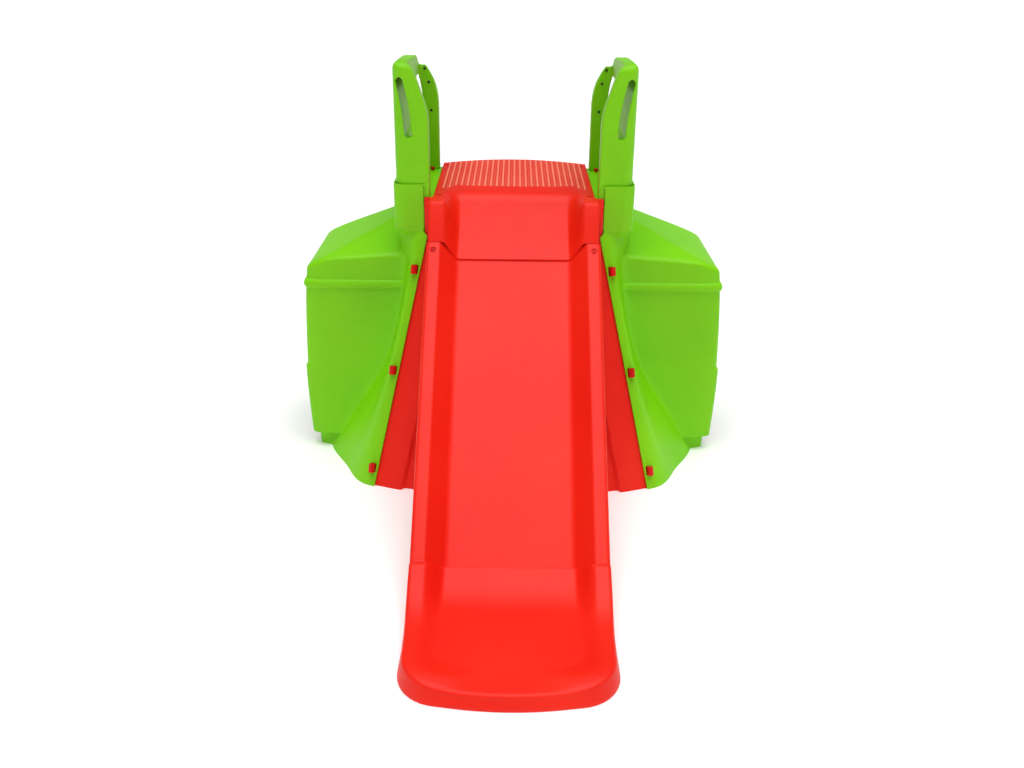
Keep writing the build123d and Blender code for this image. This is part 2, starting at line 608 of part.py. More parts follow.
def chute_profile():
    """Cross-section of the chute, square to its floor: x across, y away from the floor."""
    half, top = CHUTE_HALF_WIDTH, CHUTE_DEPTH
    right = [(CHUTE_FLOOR_HALF, 0), (CHUTE_RAIL_INNER, top), (half, top), (half, -CHUTE_SKIRT)]
    left = [(-x, y) for x, y in reversed(right)]
    outline = polygon(right + left)
    low = outline.vertices().filter_by(lambda v: abs(v.Y) < 1)
    outline = fillet(low, CHUTE_FLOOR_ROUND)
    rails = outline.vertices().filter_by(lambda v: v.Y > CHUTE_DEPTH - 1)
    outline = fillet(rails, CHUTE_RAIL_ROUND)
    hollow = offset(outline, -WALL)
    return outline - hollow - Pos(0, -WALL - 1) * hollow


def slide_chute():
    """Sliding surface with raised rails and outer skirts, open underneath."""
    length = (CHUTE_TOP_Y - CHUTE_END_Y) / math.cos(SLOPE)
    plane = Plane(origin=(0, CHUTE_TOP_Y, CHUTE_TOP_Z), x_dir=(1, 0, 0), z_dir=DOWNHILL)
    chute = extrude(plane * chute_profile(), length)
    for place in chute_screw_places():
        chute -= place * screw_seat()
    upwards = (Align.CENTER, Align.CENTER, Align.MIN)
    boss = Pos(0, 0, WALL) * Cylinder(BOSS_RADIUS, TOE_BOSS, align=upwards)
    hole = Pos(0, 0, WALL) * Cylinder(SCREW_SHANK + SCREW_GAP, SHORT_SCREW - WALL + 1, align=upwards)
    for place in toe_screw_places():
        chute += place * Rot(180, 0, 0) * boss
        chute -= place * Rot(180, 0, 0) * hole
    return chute


def toe_plan(inset):
    """The run-out seen from above: it widens a little and ends in a bowed, rounded front."""
    near = CHUTE_END_Y + 60
    corner_y = TOE_FRONT + TOE_FRONT_BOW + inset
    half = TOE_HALF_WIDTH - inset
    arc = ThreePointArc((half, corner_y), (0, TOE_FRONT + inset), (-half, corner_y))
    back = CHUTE_HALF_WIDTH - inset
    lines = Polyline((-half, corner_y), (-back, near), (back, near), (half, corner_y))
    outline = make_face([arc] + lines.edges())
    corners = outline.vertices().sort_by(Axis.Y)[:2]
    return fillet(corners, TOE_CORNER - inset)


def toe_side(drop, rim):
    """Toe in (y, z), from the floor up to a curve: the rim's top, or the sliding floor."""
    end_y, end_z = CHUTE_END_Y, floor_z(CHUTE_END_Y)
    level = TOE_FLOOR_HEIGHT
    if rim:
        end_y += CHUTE_NORMAL.Y * CHUTE_DEPTH
        end_z += CHUTE_NORMAL.Z * CHUTE_DEPTH
        level = TOE_RIM_HEIGHT
    end_z -= drop
    level -= drop
    bend_y = end_y - (end_z - level) / math.tan(SLOPE)
    run = min(TOE_SWEEP, (end_y - bend_y) / math.cos(SLOPE) - WALL)
    high = (bend_y + run * math.cos(SLOPE), level + run * math.sin(SLOPE))
    flat = (bend_y - run, level)
    arc = TangentArc(high, flat, tangent=(-math.cos(SLOPE), -math.sin(SLOPE)))
    up_y = CHUTE_END_Y + 100
    up_z = end_z + (up_y - end_y) * math.tan(SLOPE)
    lines = Polyline(flat, (TOE_FRONT - 10, level), (TOE_FRONT - 10, -5), (up_y, -5), (up_y, up_z), high)
    return make_face([arc] + lines.edges())


def slide_toe():
    """Run-out: a hollow rim round a sliding floor that levels off near the ground."""
    reach = TOE_HALF_WIDTH + 20
    cut_plane = Plane(origin=(0, CHUTE_END_Y, floor_z(CHUTE_END_Y)), x_dir=(1, 0, 0), z_dir=-DOWNHILL)
    size = 4 * reach
    above = Box(size, size, reach, align=(Align.CENTER, Align.CENTER, Align.MIN))
    behind = cut_plane * Pos(0, 0, -CLEARANCE) * above
    shape = prism_z(toe_plan(0), 0, 400) & prism_x(toe_side(0, True), -reach, reach)
    side = CHUTE_RAIL + TOE_LEAN
    basin_plan = offset(toe_plan(0), -side)
    basin_plan += Pos(0, CHUTE_END_Y + 30) * Rectangle(2 * (CHUTE_HALF_WIDTH - side), 120)
    basin = prism_z(basin_plan, 0, 400) - prism_x(toe_side(0, False), -reach, reach)
    cavity = prism_z(toe_plan(WALL), -10, 400) & prism_x(toe_side(WALL, True), -reach, reach)
    grown = offset(basin_plan, WALL)
    kept = prism_z(grown, -20, 400) - prism_x(toe_side(WALL, False), -reach, reach)
    toe = shape - basin - (cavity - kept) - behind
    toe += toe_tongue()
    for place in toe_screw_places():
        toe -= place * Cylinder(SCREW_SHANK + SCREW_GAP, 3 * WALL)
    return toe - block((-reach, reach), (TOE_FRONT, CHUTE_END_Y + TOE_LENGTH), (-TOE_LENGTH, 0))


def toe_tongue():
    """A stepped tab at the toe's upper end that passes under the chute's floor."""
    low = -WALL - TOE_BOSS - WALL
    half = CHUTE_FLOOR_HALF - 20
    tab = block((-half, half), (-2 * WALL, TOE_LAP), (low, low + WALL))
    web = block((-half, half), (-2 * WALL, -WALL), (low, -1))
    return chute_frame(CHUTE_END_Y) * (tab + web)


# ---- handrails ----------------------------------------------------------------------------
def rail_outer_x():
    return COLLAR_HALF_WIDTH - WALL - 2 * CLEARANCE


def rail_half_depth():
    return COLLAR_DEPTH - WALL - 2 * CLEARANCE


def rail_plan(inset):
    """C-shaped plan of a handrail: front leg, outer wall, rear leg."""
    outer = rail_outer_x() - inset
    half = rail_half_depth() - inset
    whole = Pos(outer / 2, 0) * Rectangle(outer, 2 * half)
    whole = fillet(whole.vertices().sort_by(Axis.X)[-2:], RAIL_CORNER - inset)
    inner_x = outer - RAIL_TUBE + 2 * inset
    inner_half = half - RAIL_TUBE + 2 * inset
    inner = Pos(inner_x / 2, 0) * Rectangle(inner_x, 2 * inner_half)
    inner = fillet(inner.vertices().sort_by(Axis.X)[-2:], RAIL_CORNER / 4 + inset)
    return whole - inner


def rail_low(inset):
    """Lower end of the handrail; its hollow runs on through it."""
    return LEDGE_HEIGHT - (2 * WALL if inset else 0)


def rail_arch(inset):
    """The leg seen from the front in (x, z): its inner edge curves out to the top."""
    outer = rail_outer_x() - inset
    top = RAIL_TOP - inset
    low = rail_low(inset)
    points = [(RAIL_INNER_EDGE + inset + x, DECK_HEIGHT + z - inset) for x, z in RAIL_ARCH]
    lean = (0.5, 1.0)
    curve = Spline(points, tangents=[(0, 1), lean])
    crest_x = points[-1][0] + (top - points[-1][1]) * lean[0] / lean[1]
    edge = points[0][0]
    lines = Polyline(points[-1], (crest_x, top), (outer, top), (outer, low), (edge, low), points[0])
    face = make_face([curve] + lines.edges())
    crest = face.vertices().filter_by(lambda v: abs(v.X - crest_x) < 1 and v.Y > top - 1)
    face = fillet(crest, RAIL_ARCH_ROUND - inset)
    shoulder = face.vertices().filter_by(lambda v: v.X > outer - 1 and v.Y > top - 1)
    return fillet(shoulder, RAIL_SHOULDER - inset)


def rail_side(inset):
    """The handrail seen from the side in (y, z): a tall panel with rounded top corners."""
    half = rail_half_depth() - inset
    low, top = LEDGE_HEIGHT - 4 * WALL, RAIL_TOP - inset
    area = Pos(0, (low + top) / 2) * Rectangle(2 * half, top - low)
    upper = area.vertices().filter_by(lambda v: v.Y > top - 1)
    front = upper.sort_by(Axis.X)[0]
    area = fillet(front, RAIL_FRONT_ROUND - inset)
    rear = area.vertices().filter_by(lambda v: v.Y > top - 1).sort_by(Axis.X)[-1]
    return fillet(rear, RAIL_REAR_ROUND - inset)


def rail_body(inset):
    body = prism_z(rail_plan(inset), rail_low(inset), RAIL_TOP)
    body &= prism_y(rail_arch(inset), -COLLAR_DEPTH, COLLAR_DEPTH)
    return body & prism_x(rail_side(inset), 0, COLLAR_HALF_WIDTH)


def slot_path():
    """Centre line of a hand slot in (x, z): it leans out with the arch."""
    return Spline([(rail_outer_x() - x, DECK_HEIGHT + z) for x, z in SLOT_LINE])


def hand_slot(width):
    line = slot_path()
    points = [line @ (i / 4) for i in range(5)]
    shape = None
    for start, end in zip(points, points[1:]):
        across = (end - start).length
        angle = math.degrees(math.atan2(end.Y - start.Y, end.X - start.X))
        middle = (start + end) * 0.5
        piece = Pos(middle.X, middle.Y) * Rot(0, 0, angle) * SlotOverall(across + width, width)
        shape = piece if shape is None else shape + piece
    return shape


def handrail():
    """Right-hand handrail: a hollow moulding with a hand slot through each leg."""
    span = (-COLLAR_DEPTH, COLLAR_DEPTH)
    hollow = rail_body(RAIL_SKIN) - prism_y(hand_slot(SLOT_WIDTH + WALL), *span)
    rail = rail_body(0) - hollow
    rail -= prism_y(hand_slot(SLOT_WIDTH), *span)
    inner_half = rail_half_depth() - RAIL_TUBE + 1
    foot = block((RAIL_INNER_EDGE, rail_outer_x() - RAIL_TUBE + 1), (-inner_half, inner_half),
                 (LEDGE_HEIGHT, LEDGE_HEIGHT + FOOT_PLATE))
    rail += foot
    for place in handrail_screw_places():
        rail -= place * Cylinder(SCREW_SHANK + SCREW_GAP, 2 * WALL)
    for place in pin_places():
        rail -= place * Cylinder(PIN_STEM + CLEARANCE / 2, 60)
    return rail


# ---- fasteners ----------------------------------------------------------------------------
def screw(length):
    """A pan-head screw, its head's underside at z = 0."""
    head = Cylinder(SCREW_HEAD, SCREW_HEAD_HEIGHT, align=(Align.CENTER, Align.CENTER, Align.MIN))
    head = fillet(head.edges().group_by(Axis.Z)[-1], 1.0)
    socket = Pos(0, 0, 1.0) * Cylinder(2.2, 4.0, align=(Align.CENTER, Align.CENTER, Align.MIN))
    shank = Cylinder(SCREW_SHANK, length, align=(Align.CENTER, Align.CENTER, Align.MAX))
    return head - socket + shank


def screw_seat():
    """What a screw takes out of a wall: a shallow recess and a hole."""
    recess = Cylinder(SCREW_HEAD + SEAT_GAP, 3 * SCREW_SEAT, align=(Align.CENTER, Align.CENTER, Align.MIN))
    hole = Cylinder(SCREW_SHANK + SCREW_GAP, 3 * DECK_RIM)
    return recess + hole


def nut():
    """A hexagon nut whose upper face is at z = 0."""
    area = RegularPolygon(SCREW_SHANK + NUT_WALL, 6) - Circle(SCREW_SHANK + SCREW_GAP / 2)
    return extrude(area, -NUT_HEIGHT)


def pin():
    """Push-in pin with a domed head, its head's underside at z = 0."""
    head = Cylinder(PIN_RADIUS, PIN_HEAD, align=(Align.CENTER, Align.CENTER, Align.MIN))
    head = fillet(head.edges().group_by(Axis.Z)[-1], 3)
    stem = Cylinder(PIN_STEM, PIN_LENGTH, align=(Align.CENTER, Align.CENTER, Align.MAX))
    return head + stem


def deck_screw_places():
    """The four corners of the deck, each head sunk below the deck's surface."""
    x = DECK_HALF_WIDTH - DECK_SCREW_INSET
    z = DECK_HEIGHT - SCREW_SEAT
    return [Pos(side * x, y, z) for side in (-1, 1) for y in (DECK_FRONT + 16, DECK_REAR - DECK_RIM)]


def deck_nut_places():
    shelf_bottom = DECK_HEIGHT - DECK_RIM - WALL
    return [Pos(place.position.X, place.position.Y, shelf_bottom) for place in deck_screw_places()]


def chute_screw_places():
    """One screw through each chute rail, just below the cheek."""
    x = (CHUTE_RAIL_INNER + CHUTE_HALF_WIDTH) / 2
    spot = (-CHUTE_SCREW_DOWN, CHUTE_DEPTH - SCREW_SEAT)
    return [chute_frame(CHUTE_TOP_Y) * Pos(side * x, *spot) for side in (-1, 1)]


def toe_screw_places():
    """Screws up through the toe's tab into the bosses under the chute's floor."""
    underside = -WALL - TOE_BOSS - WALL
    spots = [Pos(x, TOE_LAP - 2 * BOSS_RADIUS, underside) * Rot(180, 0, 0) for x in (-100, 0, 100)]
    return [chute_frame(CHUTE_END_Y) * spot for spot in spots]


def handrail_screw_places():
    """Three assembly screws in the inner face of each handrail's rear leg."""
    half = rail_half_depth() - RAIL_TUBE
    spots = ((RAIL_INNER_EDGE + 24, DECK_HEIGHT + 183), (RAIL_INNER_EDGE + 30, DECK_HEIGHT + 271),
             (rail_outer_x() - 34, DECK_HEIGHT + 345))
    return [Pos(x, half, z) * Rot(90, 0, 0) for x, z in spots]


def pin_places():
    """Locking pins through the foot of each handrail, front and rear."""
    half = rail_half_depth() - RAIL_TUBE - 2 * PIN_RADIUS
    x = DECK_HALF_WIDTH + 30
    return [Pos(x, side * half, LEDGE_HEIGHT + FOOT_PLATE) for side in (-1, 1)]


def group(places, shape):
    return Compound(children=[place * shape for place in places])


# ---- the whole slide ----------------------------------------------------------------------
def handed_nodes():
    """Right-hand nodes; the left-hand ones are their mirror images."""
    return {
        "side_shell": side_shell(),
        "handrail": handrail(),
        "handrail_pins": group(pin_places(), pin()),
        "handrail_screws": group(handrail_screw_places(), screw(SHORT_SCREW)),
        "front_pegs": peg_group(-1),
        "rear_pegs": peg_group(1),
    }


def assemble():
    """Every node by name, still about the tower's centre line."""
    nodes = {
        "deck": deck(),
        "slide_chute": slide_chute(),
        "slide_toe": slide_toe(),
        "front_panel": front_panel(),
        "rear_climb_panel": rear_climb_panel(),
        "deck_screws": group(deck_screw_places(), screw(DECK_SCREW)),
        "deck_nuts": group(deck_nut_places(), nut()),
        "chute_screws": group(chute_screw_places(), screw(SHORT_SCREW)),
        "toe_screws": group(toe_screw_places(), screw(SHORT_SCREW)),
    }
    for name, shape in handed_nodes().items():
        nodes["right_" + name] = shape
        nodes["left_" + name] = mirror(shape, about=Plane.YZ)
    return nodes


def centre_shift(nodes):
    """Move along Y that puts the middle of the whole slide's length at y = 0."""
    boxes = [shape.bounding_box() for shape in nodes.values()]
    return -(min(box.min.Y for box in boxes) + max(box.max.Y for box in boxes)) / 2


def main():
    os.makedirs("parts", exist_ok=True)
    nodes = assemble()
    shift = centre_shift(nodes)
    print(f"tower centre at y = {shift:.2f}")
    for name, shape in nodes.items():
        export_step(Pos(0, shift, 0) * shape, f"parts/{name}.step")


if __name__ == "__main__":
    main()
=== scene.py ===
# %% [markdown]
# # A moulded toddler slide
# This lesson builds the looks of a garden slide for toddlers around its finished frame. The real
# slide is a kit of blow-moulded and rotation-moulded polyethylene shells: two green side shells,
# two green handrails, and a red deck, chute, toe and two panels, held by red pegs and screws.
# The frame holds every part at its real place, so the lesson starts by loading it.

# %% Load the frame
import math

import bmesh
import bpy
import numpy as np
from mathutils import Matrix, Vector


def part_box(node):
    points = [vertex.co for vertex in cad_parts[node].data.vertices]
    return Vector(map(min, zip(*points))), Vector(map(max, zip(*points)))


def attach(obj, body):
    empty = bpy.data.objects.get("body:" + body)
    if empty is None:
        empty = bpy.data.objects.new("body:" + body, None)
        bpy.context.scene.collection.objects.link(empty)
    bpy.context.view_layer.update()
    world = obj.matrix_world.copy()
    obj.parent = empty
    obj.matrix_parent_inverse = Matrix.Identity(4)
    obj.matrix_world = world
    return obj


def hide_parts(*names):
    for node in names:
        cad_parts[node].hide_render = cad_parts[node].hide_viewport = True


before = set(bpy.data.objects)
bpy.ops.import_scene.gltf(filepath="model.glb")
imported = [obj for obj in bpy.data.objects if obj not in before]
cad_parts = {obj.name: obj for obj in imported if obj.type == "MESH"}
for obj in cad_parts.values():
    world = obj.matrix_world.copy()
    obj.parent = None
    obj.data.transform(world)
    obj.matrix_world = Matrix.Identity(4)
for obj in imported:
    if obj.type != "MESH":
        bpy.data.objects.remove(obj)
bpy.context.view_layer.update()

# %% [markdown]
# ## A working frame
# All the mouldings are drawn in millimetres about the middle of the tower, as a pattern maker
# would, and are moved into the frame in one place. The tower's middle is the middle of a side
# shell, and the frame says where that is.

# %% Places taken from the frame
M = 0.001
shell_low, shell_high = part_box("right_side_shell")
deck_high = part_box("deck")[1]
chute_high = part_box("slide_chute")[1]
toe_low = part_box("slide_toe")[0]
rail_low, rail_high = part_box("right_handrail")
TOWER_Y = (shell_low[1] + shell_high[1]) / 2
DECK_Z = deck_high[2] / M
COLLAR_Z = shell_high[2] / M
RAIL_Z = rail_high[2] / M
RAIL_X = rail_high[0] / M
RAIL_DEPTH = (rail_high[1] - rail_low[1]) / 2 / M
TOE_FRONT = (toe_low[1] - TOWER_Y) / M
print("deck", DECK_Z, "collar", COLLAR_Z, "toe front", TOE_FRONT)


def into_frame(points):
    """Millimetres about the tower's middle, as metres in the frame."""
    return np.asarray(points, dtype=float).reshape(-1, 3) * M + np.array([0.0, TOWER_Y, 0.0])


# %% [markdown]
# ## Small tools
# A moulding is mostly one smooth skin, so most pieces here are a grid of points joined by
# four-sided faces, given a wall by Solidify and soft edges by Bevel. These helpers make the grid,
# run the modifiers and leave a plain mesh.

# %% Mesh helpers
def link(name, mesh):
    piece = bpy.data.objects.new(name, mesh)
    bpy.context.scene.collection.objects.link(piece)
    return piece


def mesh_piece(name, points, faces):
    mesh = bpy.data.meshes.new(name)
    mesh.from_pydata(into_frame(points).tolist(), [], faces)
    mesh.validate()
    mesh.shade_smooth()
    return link(name, mesh)


def grid_faces(rows, cols, ring=False):
    last = cols if ring else cols - 1
    return [
        (r * cols + c, r * cols + (c + 1) % cols, (r + 1) * cols + (c + 1) % cols, (r + 1) * cols + c)
        for r in range(rows - 1) for c in range(last)
    ]


def skin(name, grid, ring=False):
    """A smooth open surface through a grid of points."""
    grid = np.asarray(grid, dtype=float)
    rows, cols = grid.shape[:2]
    return mesh_piece(name, grid.reshape(-1, 3), grid_faces(rows, cols, ring))


def modify(piece, kind, **settings):
    modifier = piece.modifiers.new(kind.lower(), kind)
    for key, value in settings.items():
        setattr(modifier, key, value)
    return modifier


def bake_down(piece, sharp=None):
    """Replaces the piece's mesh by what its modifiers make of it."""
    graph = bpy.context.evaluated_depsgraph_get()
    mesh = bpy.data.meshes.new_from_object(piece.evaluated_get(graph))
    piece.modifiers.clear()
    piece.data = mesh
    mesh.shade_smooth()
    if sharp:
        mesh.set_sharp_from_angle(angle=math.radians(sharp))
    return piece


def outwards(piece):
    """Turns every face of a closed mesh outwards."""
    work = bmesh.new()
    work.from_mesh(piece.data)
    bmesh.ops.recalc_face_normals(work, faces=work.faces)
    work.to_mesh(piece.data)
    work.free()
    return piece


def face_towards(piece, direction):
    """Turns an open skin so that its faces look along a direction on the whole."""
    work = bmesh.new()
    work.from_mesh(piece.data)
    bmesh.ops.recalc_face_normals(work, faces=work.faces)
    total = sum((face.normal * face.calc_area() for face in work.faces), Vector())
    if total.dot(Vector(direction)) < 0:
        bmesh.ops.reverse_faces(work, faces=work.faces)
    work.to_mesh(piece.data)
    work.free()


def welded(piece):
    """Merges points that lie on each other, so that no face is without area."""
    work = bmesh.new()
    work.from_mesh(piece.data)
    bmesh.ops.remove_doubles(work, verts=work.verts, dist=2e-5)
    bmesh.ops.dissolve_degenerate(work, edges=work.edges, dist=2e-5)
    work.to_mesh(piece.data)
    work.free()
    return piece


def wall(piece, thickness, direction, edge=1.4):
    """Gives a skin its moulded wall, away from `direction`, and rounds the wall's free edges."""
    face_towards(piece, direction)
    modify(piece, "SOLIDIFY", thickness=thickness * M, offset=-1.0, use_even_offset=True,
           use_quality_normals=True)
    bake_down(piece)
    outwards(piece)
    return soften(piece, edge) if edge else piece


def soften(piece, edge, angle=55):
    """Rounds the edges that are sharper than an angle."""
    modify(piece, "BEVEL", width=edge * M, segments=2, limit_method="ANGLE",
           angle_limit=math.radians(angle), use_clamp_overlap=True)
    return bake_down(piece, sharp=50)


def kept_inside(piece, node):
    """Takes a wall's last tenths of a millimetre back into the box of the frame's node."""
    low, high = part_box(node)
    for vertex in piece.data.vertices:
        vertex.co = [min(max(c, a), b) for c, a, b in zip(vertex.co, low, high)]
    return piece


def joined(name, pieces):
    """One object from several, with their places kept in the mesh."""
    work = bmesh.new()
    for piece in pieces:
        work.from_mesh(piece.data)
    mesh = bpy.data.meshes.new(name)
    work.to_mesh(mesh)
    work.free()
    for piece in pieces:
        bpy.data.objects.remove(piece)
    mesh.shade_smooth()
    return link(name, mesh)


def cut(piece, cutter, operation="DIFFERENCE"):
    modify(piece, "BOOLEAN", operation=operation, object=cutter, solver="MANIFOLD")
    bake_down(piece)
    bpy.data.objects.remove(cutter)
    return piece


def mirrored(piece, name):
    """The left-hand twin of a right-hand piece."""
    mesh = piece.data.copy()
    mesh.transform(Matrix.Diagonal((-1, 1, 1, 1)))
    mesh.flip_normals()
    twin = link(name, mesh)
    return twin


def prism(name, outline, low, high, axes="xyz", far=None):
    """A closed solid: an outline in two axes carried along the third, straight or to a far outline."""
    order = [axes.index(a) for a in "xyz"]
    count = len(outline)
    points = [(u, v, low) for u, v in outline] + [(u, v, high) for u, v in far or outline]
    points = np.asarray(points)[:, order]
    faces = [tuple(range(count)), tuple(range(2 * count - 1, count - 1, -1))]
    faces += [(i, (i + 1) % count, count + (i + 1) % count, count + i) for i in range(count)]
    return outwards(mesh_piece(name, points, faces))


# %% [markdown]
# ## Curves a pattern maker would use
# Four small formulas shape everything: a smooth curve through a few given points, a soft
# step, and a soft minimum and maximum. The soft minimum rounds an outside corner and the soft
# maximum leaves a fillet in an inside one, which is what a mould has everywhere.

# %% Curve helpers
def smooth_curve(knots, values):
    """A natural cubic spline through a few points, as a function."""
    x = np.asarray(knots, dtype=float)
    y = np.asarray(values, dtype=float)
    n = len(x)
    h = np.diff(x)
    system = np.eye(n)
    right = np.zeros(n)
    for i in range(1, n - 1):
        system[i, i - 1:i + 2] = h[i - 1], 2 * (h[i - 1] + h[i]), h[i]
        right[i] = 6 * ((y[i + 1] - y[i]) / h[i] - (y[i] - y[i - 1]) / h[i - 1])
    bend = np.linalg.solve(system, right)

    def value(at):
        at = np.clip(np.asarray(at, dtype=float), x[0], x[-1])
        i = np.clip(np.searchsorted(x, at) - 1, 0, n - 2)
        a = (x[i + 1] - at) / h[i]
        b = 1 - a
        return a * y[i] + b * y[i + 1] + ((a ** 3 - a) * bend[i] + (b ** 3 - b) * bend[i + 1]) * h[i] ** 2 / 6

    return value


def soft_step(value, low, high):
    t = np.clip((np.asarray(value, dtype=float) - low) / (high - low), 0, 1)
    return t * t * (3 - 2 * t)


def soft_min(a, b, reach):
    h = np.clip(1 - np.abs(a - b) / reach, 0, 1)
    return np.minimum(a, b) - h * h * reach / 4


def soft_max(a, b, reach):
    return -soft_min(-a, -b, reach)


def spaced(low, high, step, fine=()):
    """Positions from low to high, closer together inside each (from, to, step) range of `fine`."""
    places = [low]
    while places[-1] < high - 1e-6:
        here = places[-1]
        size = step
        for start, end, small in fine:
            if start - step < here < end:
                size = min(size, small)
        places.append(min(here + size, high))
    return np.array(places)


def rounded_outline(points, radius, steps=6):
    """A closed outline whose corners are arcs; radius is one number or one for each corner."""
    result = []
    count = len(points)
    radii = radius if isinstance(radius, (list, tuple)) else [radius] * count
    for i, corner in enumerate(points):
        corner = np.asarray(corner, dtype=float)
        before = np.asarray(points[i - 1], dtype=float) - corner
        after = np.asarray(points[(i + 1) % count], dtype=float) - corner
        reach_a, reach_b = np.linalg.norm(before), np.linalg.norm(after)
        before, after = before / reach_a, after / reach_b
        angle = math.acos(np.clip(before @ after, -1, 1))
        run = min(radii[i] / math.tan(angle / 2), 0.49 * reach_a, 0.49 * reach_b) if radii[i] else 0
        if run < 0.01:
            result.append(tuple(corner))
            continue
        start, end = corner + before * run, corner + after * run
        centre_dir = (before + after) / np.linalg.norm(before + after)
        centre = corner + centre_dir * run / math.cos(angle / 2)
        r = run * math.tan(angle / 2)
        a0 = math.atan2(*(start - centre)[::-1])
        a1 = math.atan2(*(end - centre)[::-1])
        turn = (a1 - a0 + math.pi) % (2 * math.pi) - math.pi
        result += [(centre[0] + r * math.cos(a0 + turn * k / steps),
                    centre[1] + r * math.sin(a0 + turn * k / steps)) for k in range(steps + 1)]
    return result


# %% [markdown]
# ## Shape of a side shell
# Seen in plan from the tower's middle, every point of a side shell is at one distance in each
# direction. So the outer skin is a distance for each direction and height: the larger of the
# flared tower wall, the tunnel hood and the handrail's collar, joined by soft maxima. That gives
# the fillets of a real mould with no trimming.

# %% Flared tower wall
FLANGE_TOP_Z = 745.0
FLANGE_TOP = (254.0, -240.0)
FLANGE_FOOT = (421.0, -459.0)
BOW_TOP, BOW_FOOT = 40.0, 81.0
HOOD_DEPTH = 205.0
COLLAR_X, COLLAR_Y, COLLAR_EDGE = 355.0, 234.0, 266.0
WALL = 4.5

junction_x = smooth_curve([0, 140, 270, 420, 560, 660, 760], [589, 508, 424, 366, 339, 331, 330])


def flange_edge(z):
    """Inner edge of the front flange at height z, in plan."""
    share = z / FLANGE_TOP_Z
    return tuple(foot + (top - foot) * share for foot, top in zip(FLANGE_FOOT, FLANGE_TOP))


def panel_bow(z):
    return BOW_FOOT + (BOW_TOP - BOW_FOOT) * z / FLANGE_TOP_Z


def flange_turn(z):
    return 2 * math.atan(panel_bow(z) / flange_edge(z)[0])


def flare_distance(z, directions):
    """Distance from the tower's middle to the flared wall at height z."""
    edge_x, edge_y = flange_edge(z)
    turn = flange_turn(z)
    lap = (edge_x + 24 * math.cos(turn), edge_y + 24 * math.sin(turn))
    meet = (float(junction_x(z)), -HOOD_DEPTH)
    shoulder = (lap[0] + 0.52 * (meet[0] - lap[0]), lap[1] + 0.45 * (meet[1] - lap[1]))
    points = [(edge_x, edge_y), lap, shoulder, meet, (meet[0] + 12, 0)]
    points += [(x, -y) for x, y in reversed(points[:-1])]
    points = np.array(points)
    angles = np.arctan2(points[:, 1], points[:, 0])
    return smooth_curve(angles, np.hypot(points[:, 0], points[:, 1]))(directions)


# %% [markdown]
# The hood is a box with a pitched roof. Its end wall leans and has a small step, its foot steps
# in, and a half-round bead runs round it under the roof. A facet falls from the roof's diagonal
# to the top of the front wall.

# %% Tunnel hood
BEAD_Z, BEAD_HALF, BEAD_OUT = 566.0, 14.0, 8.5
HOOD_FOOT_Z = 48.0
WAIST_Z, WAIST_STEP = 290.0, 6.0
end_wall_line = smooth_curve([0, 290, 430, 560, 645, 760], [651, 661, 656, 647, 637, 622])
ROOF_SLOPE, ROOF_EDGE = 0.3725, (575.4, 647.8)
FACET_Z, FACET_X, FACET_ALONG, FACET_ACROSS = 641.5, 632.0, 0.0778, 0.27


def end_wall_x(z):
    """The end wall leans in upwards, and steps in above its waist."""
    return end_wall_line(z) - WAIST_STEP * soft_step(z, WAIST_Z - 3, WAIST_Z + 4)


def hood_distance(z, directions):
    cos, sin = np.cos(directions), np.sin(directions)
    slim = 17 * (1 - soft_step(z, HOOD_FOOT_Z - 6, HOOD_FOOT_Z + 4))
    swell = BEAD_OUT * math.sqrt(max(0.0, 1 - ((z - BEAD_Z) / BEAD_HALF) ** 2))
    end = (float(end_wall_x(z)) - slim + swell * 0.7) / cos
    side = (HOOD_DEPTH - slim * 1.2 + swell) / np.maximum(np.abs(sin), 1e-3)
    body = soft_min(end, side, 85.0)
    roof_x = ROOF_EDGE[0] + (ROOF_EDGE[1] - z) / ROOF_SLOPE
    body = soft_min(body, roof_x / cos, 46.0)
    along = FACET_ALONG * cos - FACET_ACROSS * sin
    height = FACET_Z + FACET_ALONG * FACET_X + FACET_ACROSS * HOOD_DEPTH - z
    facet = np.where(along > 0.03, height / np.maximum(along, 0.03), 5000.0)
    return soft_min(body, facet, 46.0)


# %% [markdown]
# The collar is a rounded box that the handrail stands in. Under it the wall turns in by a short
# chamfer to the flared wall.

# %% Collar and the whole skin
COLLAR_FOOT = FLANGE_TOP_Z + 2


def collar_distance(z, directions):
    tuck = 1.5 * max(0.0, COLLAR_FOOT - z)
    along_x = (COLLAR_X - tuck) / np.cos(directions)
    along_y = (COLLAR_Y - tuck * 0.5) / np.maximum(np.abs(np.sin(directions)), 1e-3)
    return soft_min(along_x, along_y, 46.0)


def edge_angle(z):
    """Direction of the shell's free front edge at height z."""
    x, y = flange_edge(min(z, FLANGE_TOP_Z))
    flange = math.atan2(y, x)
    collar = math.atan2(-COLLAR_Y, COLLAR_EDGE)
    return flange + (collar - flange) * float(soft_step(z, FLANGE_TOP_Z - 14, FLANGE_TOP_Z))


def shell_distance(z, directions):
    if z > COLLAR_FOOT + 6:
        return collar_distance(z, directions)
    distance = soft_max(flare_distance(min(z, FLANGE_TOP_Z), directions), hood_distance(z, directions), 24.0)
    if z > COLLAR_FOOT - 26:
        distance = soft_max(distance, collar_distance(z, directions), 5.0)
    return distance


